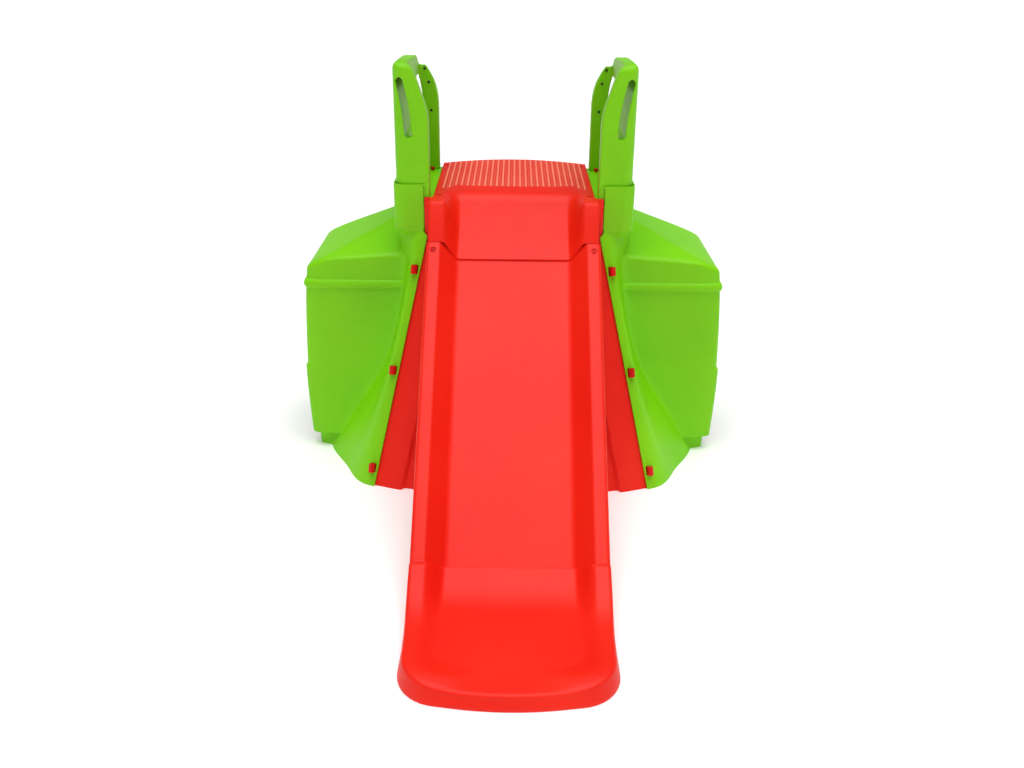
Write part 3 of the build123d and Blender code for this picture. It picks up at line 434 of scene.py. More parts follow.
# %% Grid of the skin
INNER_TURN = math.radians(36)
turns = np.radians(spaced(0, 36, 1.0, [(13, 21.5, 0.42), (21.5, 33, 0.62)]))
turns = np.concatenate([-turns[:0:-1], turns])
outer_share = np.linspace(0, 1, 14)[1:]
heights = spaced(0, COLLAR_Z, 11, [(38, 58, 2.0), (284, 302, 3.0), (548, 584, 1.5), (612, 742, 3.0),
                                   (724, 756, 2.0), (870, 884, 3.0)])
rows = []
for z in heights:
    limit = edge_angle(z)
    front = -INNER_TURN + (limit + INNER_TURN) * outer_share
    directions = np.concatenate([front[::-1], turns, -front])
    distance = shell_distance(z, directions)
    rows.append(np.stack([distance * np.cos(directions), distance * np.sin(directions),
                          np.full(len(directions), z)], axis=1))
for inset, drop in ((1.6, 0.0), (3.6, 0.2), (5.2, 0.8), (6.4, 1.8)):
    shorter = distance - inset
    rows.append(np.stack([shorter * np.cos(directions), shorter * np.sin(directions),
                          np.full(len(directions), COLLAR_Z - drop)], axis=1))
shell_skin = skin("right_shell_skin", rows)
print("side shell skin", len(heights), "x", len(rows[0]))

# %% [markdown]
# The flanges carry windows for the locking pegs, and the hood's end wall has the crawl-through
# door. Both are cut after the skin has its wall, so that their edges show the wall's thickness.
# Each peg has its own frame: across the flange, up along it, and square out of it.

# %% Pockets and door
PEG_HEIGHTS = (636.0, 344.0, 54.0)
PEG_INSET = 16.0
DOOR_HALF, DOOR_TOP = 150.0, 520.0


def peg_frame(height, rear):
    """Origin on the flange and unit vectors across, up and out, all in millimetres."""
    x, y = flange_edge(height)
    turn = flange_turn(height)
    lean = math.atan((FLANGE_TOP[1] - FLANGE_FOOT[1]) / FLANGE_TOP_Z)
    across = Vector((math.cos(turn), math.sin(turn), 0))
    out = Vector((math.sin(turn) * math.cos(lean), -math.cos(turn) * math.cos(lean), math.sin(lean)))
    origin = Vector((x, y, height)) + across * PEG_INSET
    up = out.cross(across)
    axes = [origin, across, up, out]
    if rear:
        axes = [Vector((a.x, -a.y, a.z)) for a in axes]
    return axes


def box_in(axes, half_across, up_range, out_range, name="box"):
    """A box in a peg's frame."""
    origin, across, up, out = axes
    corners = [origin + across * a + up * b + out * c
               for c in out_range for b in up_range for a in (-half_across, half_across)]
    faces = [(0, 1, 3, 2), (4, 5, 7, 6), (0, 1, 5, 4), (2, 3, 7, 6), (0, 2, 6, 4), (1, 3, 7, 5)]
    return outwards(mesh_piece(name, [tuple(c) for c in corners], faces))


def door_outline(grow=0.0, steps=24, foot=0.0):
    """Half-round head on straight sides, from one foot to the other, in (y, z)."""
    half = DOOR_HALF + grow
    centre = DOOR_TOP - DOOR_HALF
    arc = [(half * math.cos(a), centre + half * math.sin(a)) for a in np.linspace(0, math.pi, steps)]
    return [(half, foot)] + arc + [(-half, foot)]


def tube(name, path, radius, sides=10, flat=1.0):
    """A round bead along a path of points, with closed ends."""
    path = np.asarray(path, dtype=float)
    along = np.gradient(path, axis=0)
    along /= np.linalg.norm(along, axis=1)[:, None]
    side = np.cross(along, np.array([1.0, 0.0, 0.0]))
    side /= np.linalg.norm(side, axis=1)[:, None]
    third = np.cross(side, along)
    angles = np.linspace(0, 2 * math.pi, sides, endpoint=False)
    rings = [[p + radius * (math.cos(a) * s * flat + math.sin(a) * t) for a in angles]
             for p, s, t in zip(path, side, third)]
    piece = skin(name, rings, ring=True)
    work = bmesh.new()
    work.from_mesh(piece.data)
    bmesh.ops.holes_fill(work, edges=[e for e in work.edges if e.is_boundary], sides=sides)
    work.to_mesh(piece.data)
    work.free()
    return outwards(piece)


def slab(name, outline, low, high, axes="xyz", edge=1.5):
    """A prism with rounded edges."""
    piece = prism(name, outline, low, high, axes)
    modify(piece, "BEVEL", width=edge * M, segments=3, limit_method="ANGLE", angle_limit=math.radians(40))
    return bake_down(piece, sharp=60)


def rectangle(x, y):
    return [(x[0], y[0]), (x[1], y[0]), (x[1], y[1]), (x[0], y[1])]


shell = wall(shell_skin, WALL, (1, 0, 0), edge=1.6)
cutters = [prism("door", door_outline(foot=-20), 600, 700, "yzx")]
for rear in (False, True):
    for height in PEG_HEIGHTS:
        cutters.append(box_in(peg_frame(height, rear), 10, (-14, 14), (-30, 20)))
cut(shell, joined("cutters", cutters))
shell.data.set_sharp_from_angle(angle=math.radians(45))
print("side shell faces", len(shell.data.polygons))

# %% Collar floor, door lip
LEDGE_Z = rail_low[2] / M
DECK_HALF = 240.0
RIM_DEPTH = 42.0
door_path = [(float(end_wall_x(max(z, 50.0))) - WALL / 2 - (17 if z < HOOD_FOOT_Z else 0), y, z)
             for y, z in door_outline(grow=1.5, foot=HOOD_FOOT_Z + 3)]
lip = tube("door_lip", door_path, 6.5)
ledge = slab("ledge", rectangle((DECK_HALF + 1, COLLAR_X - 3), (-212, COLLAR_Y - 3)), LEDGE_Z - 5, LEDGE_Z)
riser = slab("riser", rectangle((DECK_HALF + 1, DECK_HALF + 6), (-212, COLLAR_Y - 6)), 806, LEDGE_Z - 4)
shelf = slab("shelf", rectangle((DECK_HALF - 32, COLLAR_X - 3), (-212, COLLAR_Y - 3)), 800, 805)
right_shell = joined("right_side_shell_moulding", [shell, lip, ledge, riser, shelf])
kept_inside(right_shell, "right_side_shell")
left_shell = mirrored(right_shell, "left_side_shell_moulding")
for corner in (0, 6):
    print("shell corner", [round(v, 3) for v in right_shell.bound_box[corner]])

# %% [markdown]
# ## Handrails
# A handrail is a hollow blow moulding: C-shaped in plan, with legs whose inner edges arch out to
# the top and a hand slot through each leg. Drawn as hard-edged solids, it would have none of the
# soft corners that blow moulding gives, so the solids are cut to shape, remeshed in small cubes
# and smoothed, which rounds every edge at once.

# %% Handrail
RAIL_TUBE = 40.0
RAIL_EDGE = 248.0
SLOT_WIDTH = 22.0
VOXEL = 2.7


FRONT_ARCH = smooth_curve([1050, 1090, 1139, 1175, 1202, 1216, 1224], [248, 252, 267, 279, 290, 303, 322])
REAR_ARCH = smooth_curve([1040, 1067, 1122, 1165, 1190, 1206, 1260], [246, 248, 261, 283, 302, 322, 400])


def arch_outline():
    """The leg from the front in (x, z): the inner edge leans out to the ridge."""
    points = [(RAIL_EDGE, LEDGE_Z), (RAIL_X, LEDGE_Z), (RAIL_X, RAIL_Z - 16), (RAIL_X - 6, RAIL_Z - 4)]
    points += [(RAIL_X - 14, RAIL_Z)]
    inner = [(max(RAIL_EDGE, float(FRONT_ARCH(z))), z) for z in 1224 - 174 * np.linspace(0, 1, 18) ** 2]
    return points + inner


def arch_opening(curve, top):
    """What the rear leg loses inside its arch, which is lower than the front one."""
    heights = np.linspace(1045, top, 18)
    return [(180, 1045)] + [(float(curve(min(z, 1260))), z) for z in heights] + [(180, top)]


def side_outline():
    half = RAIL_DEPTH
    corners = [(-half, LEDGE_Z - 5), (half, LEDGE_Z - 5), (half, RAIL_Z - 22), (-half + 40, RAIL_Z + 1),
               (-half, RAIL_Z - 4)]
    return rounded_outline(corners, [0, 0, 130, 200, 40], steps=14)


def c_outline(inset=0.0):
    """Plan of the handrail, open towards the deck."""
    outer, half = RAIL_X, RAIL_DEPTH
    inner, inner_half = outer - RAIL_TUBE, half - RAIL_TUBE
    corners = [(RAIL_EDGE - 20, -half), (outer, -half), (outer, half), (RAIL_EDGE - 20, half),
               (RAIL_EDGE - 20, inner_half), (inner, inner_half), (inner, -inner_half),
               (RAIL_EDGE - 20, -inner_half)]
    return rounded_outline(corners, [0, 30, 30, 0, 0, 12, 12, 0], steps=8)


def slot_outline(width):
    """A hand slot in (x, z) whose centre line leans out with the arch."""
    line = smooth_curve([0, 0.5, 1.0], [RAIL_X - 42, RAIL_X - 35, RAIL_X - 20])
    low, high = 1026.0, 1172.0
    half = width / 2
    left, right = [], []
    for t in np.linspace(0, 1, 12):
        x, z = float(line(t)), low + (high - low) * t
        left.append((x - half, z))
        right.append((x + half, z))
    angles = np.linspace(0, math.pi, 9)[1:-1]
    top = [(float(line(1.0)) + half * math.cos(a), high + half * math.sin(a)) for a in angles]
    foot = [(float(line(0.0)) - half * math.cos(a), low - half * math.sin(a)) for a in angles]
    return right + top + left[::-1] + foot


rail = prism("rail", c_outline(), LEDGE_Z, RAIL_Z + 2)
cut(rail, prism("arch", arch_outline(), -300, 300, "xzy"), "INTERSECT")
cut(rail, prism("side", side_outline(), 200, 400, "yzx"), "INTERSECT")
rear_opening = arch_opening(REAR_ARCH, 1240)
cut(rail, prism("rear_arch", arch_opening(FRONT_ARCH, 1223), 30, 232, "xzy", far=rear_opening))
cut(rail, prism("slot", slot_outline(SLOT_WIDTH), -300, 300, "xzy"))
modify(rail, "BEVEL", width=7 * M, segments=3, limit_method="ANGLE", angle_limit=math.radians(42))
bake_down(rail)
modify(rail, "REMESH", mode="VOXEL", voxel_size=VOXEL * M, use_smooth_shade=True)
modify(rail, "SMOOTH", factor=0.5, iterations=5)
bake_down(rail)
right_rail = rail
right_rail.name = "right_handrail_moulding"
left_rail = mirrored(right_rail, "left_handrail_moulding")
print("handrail faces", len(right_rail.data.polygons))

# %% Where the frame has its fasteners
def mid_of_solids(node):
    """The middle of each loose solid of a node, in millimetres about the tower, highest first."""
    work = bmesh.new()
    work.from_mesh(bpy.data.objects[node].data)
    bmesh.ops.remove_doubles(work, verts=work.verts, dist=1e-6)
    left = set(work.verts)
    middles = []
    while left:
        group, front = set(), [left.pop()]
        while front:
            vert = front.pop()
            group.add(vert)
            for edge in vert.link_edges:
                other = edge.other_vert(vert)
                if other in left:
                    left.discard(other)
                    front.append(other)
        points = np.array([v.co for v in group])
        tops = points[points[:, 2] > points[:, 2].max() - 1e-5]
        middles.append(((points.max(0) + points.min(0)) / 2 / M - (0, TOWER_Y / M, 0), tops[:, 2].max() / M))
    work.free()
    return middles


# %% [markdown]
# ## Chute
# The chute has one cross-section from end to end: a flat floor, a leaning wall, a rounded rail and
# an outer skirt. So it is that section carried down the slope. The section is a closed outline
# with the wall's thickness in it, which keeps the underside true as well.

# %% Chute
SLOPE = math.radians(41.05)
CHUTE_HALF = chute_high[0] / M
CHUTE_TOP = (-300.0, 697.0)
CHUTE_END_Y = -1007.0
CHUTE_DEPTH, CHUTE_SKIRT = 58.0, 34.0
CHUTE_FLOOR_HALF, CHUTE_RAIL_INNER = 164.0, 212.0
DOWN = np.array([0.0, -math.cos(SLOPE), -math.sin(SLOPE)])
SQUARE = np.array([0.0, -math.sin(SLOPE), math.cos(SLOPE)])
CHUTE_LENGTH = (CHUTE_TOP[0] - CHUTE_END_Y) / math.cos(SLOPE)


def on_chute(x, down, above):
    """A point given across the chute, down its slope and square above its floor."""
    return np.array([x, CHUTE_TOP[0], CHUTE_TOP[1]]) + DOWN * down + SQUARE * above


def section_half(inset):
    """Right half of the chute's section in (x, above), from the middle to the skirt's foot."""
    corners = [(0, -inset), (CHUTE_FLOOR_HALF + inset * 0.3, -inset),
               (CHUTE_RAIL_INNER + inset * 0.8, CHUTE_DEPTH - inset),
               (CHUTE_HALF - inset, CHUTE_DEPTH - inset), (CHUTE_HALF - inset, -CHUTE_SKIRT), (0, -900)]
    radii = [0, 26, 11 - inset * 0.5, 11 - inset * 0.5, 0, 0]
    points = rounded_outline(corners, radii, steps=7)
    return [p for p in points if p[1] > -CHUTE_SKIRT - 1]


def full_section(inset):
    half = section_half(inset)
    return [(-x, y) for x, y in reversed(half[1:])] + half


def chute_length_piece(name, inset, thickness, stations):
    """The section between two insets, carried down the slope through the stations."""
    outer = full_section(inset)
    loop = outer + full_section(inset + thickness)[::-1]
    piece = skin(name, [[on_chute(x, s, a) for x, a in loop] for s in stations], ring=True)
    work = bmesh.new()
    work.from_mesh(piece.data)
    work.verts.ensure_lookup_table()
    for base in (0, (len(stations) - 1) * len(loop)):
        for i in range(len(outer) - 1):
            ring = [base + i, base + i + 1, base + len(loop) - 2 - i, base + len(loop) - 1 - i]
            work.faces.new([work.verts[k] for k in ring])
    work.to_mesh(piece.data)
    work.free()
    return outwards(piece)


def chute_recess(x, down, radius, deep):
    """A round recess for a screw, square to the rail's top."""
    ring = [(math.cos(a), math.sin(a)) for a in np.linspace(0, 2 * math.pi, 29)[:-1]]
    levels = [CHUTE_DEPTH - deep, CHUTE_DEPTH + 6]
    points = [on_chute(x + radius * c, down + radius * d, level) for level in levels for c, d in ring]
    count = len(ring)
    faces = [tuple(range(count)), tuple(range(2 * count - 1, count - 1, -1))]
    faces += [(i, (i + 1) % count, count + (i + 1) % count, count + i) for i in range(count)]
    return outwards(mesh_piece("recess", points, faces))


LAP_GAP, LAP_THICK = 0.6, 3.0       # the laps close the chute's two seams from behind
SEAT_RADIUS, SEAT_DEPTH = 9.5, 3.2  # the round recess under a chute screw's head
stations = np.concatenate([[0, 1.2], np.linspace(8, CHUTE_LENGTH - 8, 40),
                           [CHUTE_LENGTH - 1.2, CHUTE_LENGTH]])
chute = chute_length_piece("chute_length", 0.0, WALL, stations)
chute_screws = [m for m, top in mid_of_solids("chute_screws")]
CHUTE_SCREWS = [(m[0], float((m - np.array([0, *CHUTE_TOP])) @ DOWN)) for m in chute_screws]
for x, down in CHUTE_SCREWS:
    cut(chute, chute_recess(x, down, SEAT_RADIUS, SEAT_DEPTH))
laps = [chute_length_piece("lap", WALL + LAP_GAP, LAP_THICK, [start, start + 20, end])
        for start, end in ((-34, 12), (CHUTE_LENGTH - 12, CHUTE_LENGTH + 14))]
chute = joined("slide_chute_moulding", [chute] + laps)
chute.data.set_sharp_from_angle(angle=math.radians(45))
print("chute length mm", round(CHUTE_LENGTH), "faces", len(chute.data.polygons))

# %% [markdown]
# ## Deck and rolled inlet
# The deck and the inlet are one moulding. Across it, a column near the middle follows the rolled
# channel down into the chute, and a column near the side stays level and then drops as the front
# of a cheek. Every column between them is a blend of the two paths, so the channel's sides get
# their rounded walls from one rule. Past the side columns the skin turns down into the rim.

# %% Deck columns and paths
DECK_REAR, DECK_BOW = 255.0, 70.0
CHEEK_HALF = 246.0
ROLL_START = -96.0
PATH_STEPS = 64


def even_path(points, count, corner=0.0):
    """A polyline with rounded corners, as evenly spaced points from end to end."""
    points = [np.asarray(p, dtype=float) for p in points]
    fine = [points[0]]
    for before, here, after in zip(points, points[1:], points[2:]):
        a, b = before - here, after - here
        run = min(corner, 0.45 * np.linalg.norm(a), 0.45 * np.linalg.norm(b))
        a, b = a / np.linalg.norm(a), b / np.linalg.norm(b)
        for t in np.linspace(0, 1, 12):
            fine.append(here + a * run * (1 - t) ** 2 + b * run * t ** 2)
    fine = np.array(fine + [points[-1]])
    length = np.concatenate([[0], np.cumsum(np.linalg.norm(np.diff(fine, axis=0), axis=1))])
    at = np.linspace(0, length[-1], count)
    return np.stack([np.interp(at, length, fine[:, k]) for k in range(2)], axis=1)


lip_end = on_chute(0, 22.0, 5.5)[1:]
channel_path = even_path([(ROLL_START, DECK_Z), (-166, DECK_Z - 4), (-206, DECK_Z - 52), (-276, DECK_Z - 124),
                          lip_end], PATH_STEPS, corner=40)
cheek_path = even_path([(ROLL_START, DECK_Z), (-281, DECK_Z), (-300, DECK_Z - 34),
                        on_chute(0, -2.0, CHUTE_DEPTH - 1)[1:]], PATH_STEPS, corner=9)


def deck_point(across, share):
    """A point of the path at a column: the channel's near the middle, the cheek's at the side."""
    narrow = 30 * (1 - share) ** 2
    side = float(soft_step(abs(across), 160 - narrow * 0.2, 206))
    position = share * (PATH_STEPS - 1)
    index = np.arange(PATH_STEPS)
    low = [np.interp(position, index, channel_path[:, k]) for k in range(2)]
    high = [np.interp(position, index, cheek_path[:, k]) for k in range(2)]
    return [a + (b - a) * side for a, b in zip(low, high)]


def rear_edge(across):
    return DECK_REAR + DECK_BOW * (1 - (across / DECK_HALF) ** 2)


def half_at(y):
    """Half-width of the moulding: the cheeks stand a little wider than the deck."""
    return DECK_HALF + (CHEEK_HALF - DECK_HALF) * (1 - float(soft_step(y, -224, -216)))


def rim_depth(y):
    return RIM_DEPTH + 48 * (1 - float(soft_step(y, -224, -216)))


# %% Deck skin
EDGE_ROUND = 6.0
half_columns = np.append(spaced(0, 226, 12, [(150, 212, 3.0), (212, 226, 6.0)]), 230.0)
turned = [(EDGE_ROUND * math.sin(a), EDGE_ROUND * (1 - math.cos(a))) for a in np.linspace(0, math.pi / 2, 5)]
shares = [("deck", s) for s in np.linspace(1, 0, 34)]
shares += [("path", s) for s in np.linspace(0, 1, PATH_STEPS)[1:]]


def deck_row(kind, share):
    row = []
    for across in half_columns:
        if kind == "deck":
            y, z = ROLL_START + (rear_edge(across) - EDGE_ROUND - ROLL_START) * share, DECK_Z
        else:
            y, z = deck_point(across, share)
        row.append((across, y, z))
    edge_y, edge_z = row[-1][1:]
    half = half_at(edge_y)
    row += [(half - EDGE_ROUND + out, edge_y, edge_z - down) for out, down in turned]
    bottom = max(edge_z - rim_depth(edge_y), 700.0)
    for down in (0.35, 0.7, 1.0):
        row.append((half, edge_y, edge_z - EDGE_ROUND + (bottom - edge_z + EDGE_ROUND) * down))
    return row


def rear_rows():
    """The rim behind the deck's bowed edge, from its lower edge up to the deck."""
    top = deck_row("deck", 1.0)
    rounds = []
    drops = [(EDGE_ROUND, RIM_DEPTH), (EDGE_ROUND, RIM_DEPTH * 0.6), (EDGE_ROUND, RIM_DEPTH * 0.3)]
    for out, down in drops + turned[:0:-1]:
        rounds.append([(x, y + out, min(z, DECK_Z - down)) for x, y, z in top])
    return rounds


half_rows = rear_rows() + [deck_row(kind, share) for kind, share in shares]
full_rows = [[(-x, y, z) for x, y, z in row[:0:-1]] + row for row in half_rows]
deck_skin = skin("deck_skin", full_rows)
print("deck skin", len(full_rows), "x", len(full_rows[0]))

# %% [markdown]
# The deck's skin is welded first, because a face without area would spoil its wall. The wall is
# added inwards. Round seats for the screws are cut where the frame has its
# screws. An upright ear on each side closes the gap between a cheek and the collar.

# %% Deck with its screw seats and ears
def ring_outline(x, y, radius, count=24):
    return [(x + radius * math.cos(a), y + radius * math.sin(a))
            for a in np.linspace(0, 2 * math.pi, count, endpoint=False)]


deck = wall(welded(deck_skin), WALL, (0, 0, 1), edge=1.2)
deck_screws = [m for m, top in mid_of_solids("deck_screws")]
DECK_SEAT = 2.6                     # how far a deck screw's head is sunk
seats = [prism("seat", ring_outline(x, y, 8.3), DECK_Z - DECK_SEAT, DECK_Z + 5) for x, y, z in deck_screws]
cut(deck, joined("seats", seats))
EAR_ACROSS, EAR_ALONG, EAR_FOOT = (241, 264), (-234, -229), 736
ears = []
for near, far in (EAR_ACROSS, (-EAR_ACROSS[1], -EAR_ACROSS[0])):
    ears.append(outwards(slab("ear", rectangle((near, far), EAR_ALONG), EAR_FOOT, DECK_Z - 1, edge=1.2)))
deck.data.set_sharp_from_angle(angle=math.radians(40))
print("deck screws at", [tuple(round(float(v), 1) for v in m) for m in deck_screws])

# %% [markdown]
# ## Toe
# The toe is drawn as loops one inside another, each a fixed distance in from the outer edge, the
# way a contour map is. A loop's height comes from how far in it is: rounded rim, leaning wall,
# fillet, floor. Both the rim and the floor also have their own line down the slope and out level.

# %% Toe outline
TOE_HALF = 257.0
SEAM_Y = CHUTE_END_Y
RIM_RUN = CHUTE_DEPTH * math.sin(SLOPE)
SEAM_Z = on_chute(0, CHUTE_LENGTH, 0)[2]
rim_line = even_path([(SEAM_Y - RIM_RUN + 20, SEAM_Z + CHUTE_DEPTH * math.cos(SLOPE) + 17.4),
                      (-1150, 60), (TOE_FRONT - 5, 50)], 300, corner=150)
floor_line = even_path([(SEAM_Y + 20, SEAM_Z + 17.4), (-1085, 45), (TOE_FRONT - 5, 37)], 300, corner=130)


def rim_z(y):
    return float(np.interp(y, rim_line[::-1, 0], rim_line[::-1, 1]))


def floor_z(y):
    return float(np.interp(y, floor_line[::-1, 0], floor_line[::-1, 1]))


def toe_loop(inset):
    """Plan of one loop from the right-hand seam round the front to the left-hand one."""
    seam_half, front_half = CHUTE_HALF - inset, TOE_HALF - inset
    corner_y, front_y = TOE_FRONT + 31 + inset, TOE_FRONT + 11.8 + inset
    radius = max(104 - inset * 0.8, 30)
    side = [(seam_half, SEAM_Y + 40), (seam_half + 1, SEAM_Y - 60), (front_half, corner_y)]
    outline = rounded_outline(side + [(0, front_y - 22)] + [(-x, y) for x, y in side[::-1]],
                              [0, 600, radius, 2400, radius, 600, 0], steps=16)
    outline = np.array(outline)
    length = np.concatenate([[0], np.cumsum(np.linalg.norm(np.diff(outline, axis=0), axis=1))])
    return outline, length


def toe_lift(inset):
    """1 on the rim, 0 on the floor."""
    return 1 - float(soft_step(inset, 36, 90))


def front_fade(x, y, inset):
    """The side rims sink to the floor's level as they turn into the front edge."""
    beside = float(soft_step(abs(x) + inset, 120, 246))
    behind = float(soft_step(y, TOE_FRONT + 70, TOE_FRONT + 150))
    return max(beside, behind)


def toe_ring(inset, count=141, drop=0.0):
    outline, length = toe_loop(max(inset, 0))
    lift = toe_lift(inset)
    seam = SEAM_Y - 1.2 - RIM_RUN * lift
    half = len(outline) // 2
    start = np.interp(-seam, -outline[:half, 1], length[:half])
    at = np.linspace(start, length[-1] - start, count)
    x, y = [np.interp(at, length, outline[:, k]) for k in range(2)]
    rows = []
    for px, py in zip(x, y):
        low, high = floor_z(py), rim_z(py)
        rows.append((px, py, low + (high - low) * lift * front_fade(px, py, inset) - drop))
    return rows


# %% Toe skin
RIM_ROUND = 10.0
APRON_LEAN = 9.0             # the apron's foot stands this far out in front of its top
APRON_LIP = 7.0
rings = []


def apron_lean(y):
    return APRON_LEAN * (1 - float(soft_step(y, -1330, -1080)))


outer_ring = toe_ring(0)
top_ring = toe_ring(APRON_LEAN)
for share in (0.0, 0.5, 1.0):
    rings.append([(x, y, 0.5 + (APRON_LIP - 0.5) * share) for x, y, z in outer_ring])
for share in (0.06, 0.25, 0.5, 0.75, 1.0):
    row = []
    for (x0, y0, z0), (x1, y1, z1) in zip(outer_ring, top_ring):
        lean = apron_lean(y0) / APRON_LEAN * share
        height = APRON_LIP + 1 + (z0 - RIM_ROUND - APRON_LIP - 1) * share
        row.append((x0 + (x1 - x0) * lean, y0 + (y1 - y0) * lean, height))
    rings.append(row)
for a in np.linspace(0, math.pi / 2, 6)[1:]:
    inset = RIM_ROUND * (1 - math.cos(a))
    row = []
    for (x0, y0, z0), (x1, y1, z1) in zip(toe_ring(inset, drop=RIM_ROUND * (1 - math.sin(a))),
                                          toe_ring(inset + APRON_LEAN, drop=RIM_ROUND * (1 - math.sin(a)))):
        lean = apron_lean(y0) / APRON_LEAN
        row.append((x0 + (x1 - x0) * lean, y0 + (y1 - y0) * lean, z0))
    rings.append(row)
for inset in spaced(RIM_ROUND + APRON_LEAN + 5, 112, 4.0):
    rings.append(toe_ring(inset))
inner_ring = np.array(rings[-1])
count = len(inner_ring)
middle = count // 2
ladder = []
for i in range(middle):
    right, left = inner_ring[i], inner_ring[count - 1 - i]
    steps = [right + (left - right) * t for t in np.linspace(0, 1, 15)]
    ladder.append([(x, y, floor_z(y)) for x, y, z in steps])
rim_points = np.array(rings).reshape(-1, 3)
ladder_points = np.array(ladder).reshape(-1, 3)
faces = grid_faces(len(rings), count)
faces += [tuple(len(rim_points) + k for k in face) for face in grid_faces(middle, 15)]
tip = (len(rings) - 1) * count + middle
last_row = len(rim_points) + (middle - 1) * 15
faces += [(tip, last_row + k + 1, last_row + k) for k in range(15 - 1)]
toe_skin = mesh_piece("toe_skin", np.concatenate([rim_points, ladder_points]), faces)
toe = wall(welded(toe_skin), WALL, (0, 0, 1), edge=1.2)
toe.name = "slide_toe_moulding"
kept_inside(toe, "slide_toe")
print("toe rings", len(rings), "faces", len(toe.data.polygons))

# %% [markdown]
# ## Front and rear panels
# Both panels are bowed sheets between the flanges. The front one has a stepped-back middle whose
# edge runs beside the flange, and a notch where the chute passes. The rear one carries three foot
# holes with rounded treads, for climbing up to the deck.

# %% Panel sheets
PANEL_TOP = FLANGE_TOP_Z - 8
PANEL_LAP, PANEL_GAP = 26.0, 2.5
RECESS_IN, RECESS_DEPTH, RECESS_EDGE = 90.0, 16.0, 6.0
STEP_COUNT, STEP_HALF, STEP_HOLE, TREAD_DEPTH = 3, 165.0, 105.0, 92.0


def panel_y(x, z):
    """The front panel's outer face: an arc through the two flange edges and the bow's middle."""
    edge_x, edge_y = flange_edge(z)
    turn = flange_turn(z)
    inset = WALL + 0.5 + PANEL_GAP
    end_x = edge_x + PANEL_LAP * math.cos(turn) - inset * math.sin(turn)
    end_y = edge_y + PANEL_LAP * math.sin(turn) + inset * math.cos(turn)
    middle_y = edge_y - panel_bow(z) + inset
    rise = end_y - middle_y
    radius = (end_x ** 2 + rise ** 2) / (2 * rise)
    return middle_y + radius - math.sqrt(max(radius ** 2 - x ** 2, 0)), end_x


def panel_skin(name, top, recess=0.0, columns=141):
    rows = []
    for z in spaced(0, top, 12):
        end_x = panel_y(0, z)[1]
        if z > PANEL_TOP:
            end_x = DECK_HALF - 40
        ledge = flange_edge(z)[0] - RECESS_IN
        row = []
        for x in np.linspace(-end_x, end_x, columns):
            back = recess * (1 - float(soft_step(abs(x), ledge - RECESS_EDGE, ledge + RECESS_EDGE)))
            row.append((x, panel_y(x, min(z, FLANGE_TOP_Z))[0] + back, z))
        rows.append(row)
    return skin(name, rows)


def panel_pockets():
    """Square windows through a panel where the pegs of both flanges pass."""
    half, depths = 6, (-40, 10)
    pockets = []
    for height in PEG_HEIGHTS:
        axes = peg_frame(height, False)
        twin = [Vector((-a.x, a.y, a.z)) for a in axes]
        pockets += [box_in(frame_axes, half, (-half, half), depths) for frame_axes in (axes, twin)]
    return joined("peg_pockets", pockets)


chute_room = []
for reach in (110.0, -420.0):
    y = CHUTE_TOP[0] + reach
    chute_room.append((y, CHUTE_TOP[1] + reach * math.tan(SLOPE) - 40 / math.cos(SLOPE)))
chute_room += [(chute_room[1][0], 900), (chute_room[0][0], 900)]
front_panel = wall(panel_skin("front_panel_skin", PANEL_TOP, RECESS_DEPTH), WALL, (0, -1, 0))
cut(front_panel, prism("chute_room", chute_room, -CHUTE_HALF - 3, CHUTE_HALF + 3, "yzx"))
cut(front_panel, panel_pockets())
front_panel.name = "front_panel_moulding"
front_panel.data.set_sharp_from_angle(angle=math.radians(45))
print("front panel faces", len(front_panel.data.polygons))

# %% Rear panel with its steps
REAR_TOP = DECK_Z - RIM_DEPTH - 1


def on_rear(piece):
    """Turns a piece drawn at the front round to the rear."""
    move = Matrix.Translation((0, TOWER_Y, 0))
    piece.data.transform(move @ Matrix.Diagonal((1, -1, 1, 1)) @ move.inverted())
    piece.data.flip_normals()
    return piece


rear_panel = wall(panel_skin("rear_panel_skin", REAR_TOP), WALL, (0, -1, 0), edge=0)
treads = []
for index in range(STEP_COUNT):
    height = DECK_Z * (index + 1) / (STEP_COUNT + 1)
    hole = rounded_outline([(-STEP_HALF, height), (STEP_HALF, height), (STEP_HALF, height + STEP_HOLE),
                            (-STEP_HALF, height + STEP_HOLE)], 34, steps=8)
    cut(rear_panel, prism("foot_hole", hole, -600, 0, "xzy"))
    face_y = panel_y(0, height)[0]
    low, high = face_y - 16, face_y - 16 + TREAD_DEPTH
    outline = rounded_outline([(-STEP_HALF, low), (STEP_HALF, low), (STEP_HALF, high),
                               (-STEP_HALF, high)], 16)
    inner = rounded_outline([(-STEP_HALF + 5, low + 5), (STEP_HALF - 5, low + 5), (STEP_HALF - 5, high - 5),
                             (-STEP_HALF + 5, high - 5)], 11)
    tread = prism("tread", outline, height - 15, height)
    cut(tread, prism("tread_room", inner, height - 20, height - 5))
    modify(tread, "BEVEL", width=1.6 * M, segments=3, limit_method="ANGLE", angle_limit=math.radians(40))
    treads.append(bake_down(tread, sharp=60))
cut(rear_panel, panel_pockets())
soften(rear_panel, 1.4)
rear_panel = on_rear(joined("rear_climb_panel_moulding", [rear_panel] + treads))
rear_panel.data.set_sharp_from_angle(angle=math.radians(45))
kept_inside(front_panel, "front_panel")
kept_inside(rear_panel, "rear_climb_panel")
print("rear panel faces", len(rear_panel.data.polygons))

# %% [markdown]
# ## Anti-slip pattern
# The deck's tread pattern is long smooth lines from front to back with rows of short raised
# dashes between them. There are over a thousand dashes, so Geometry Nodes makes them: a grid of
# points, kept where they are on the deck, with one small pad set on each.

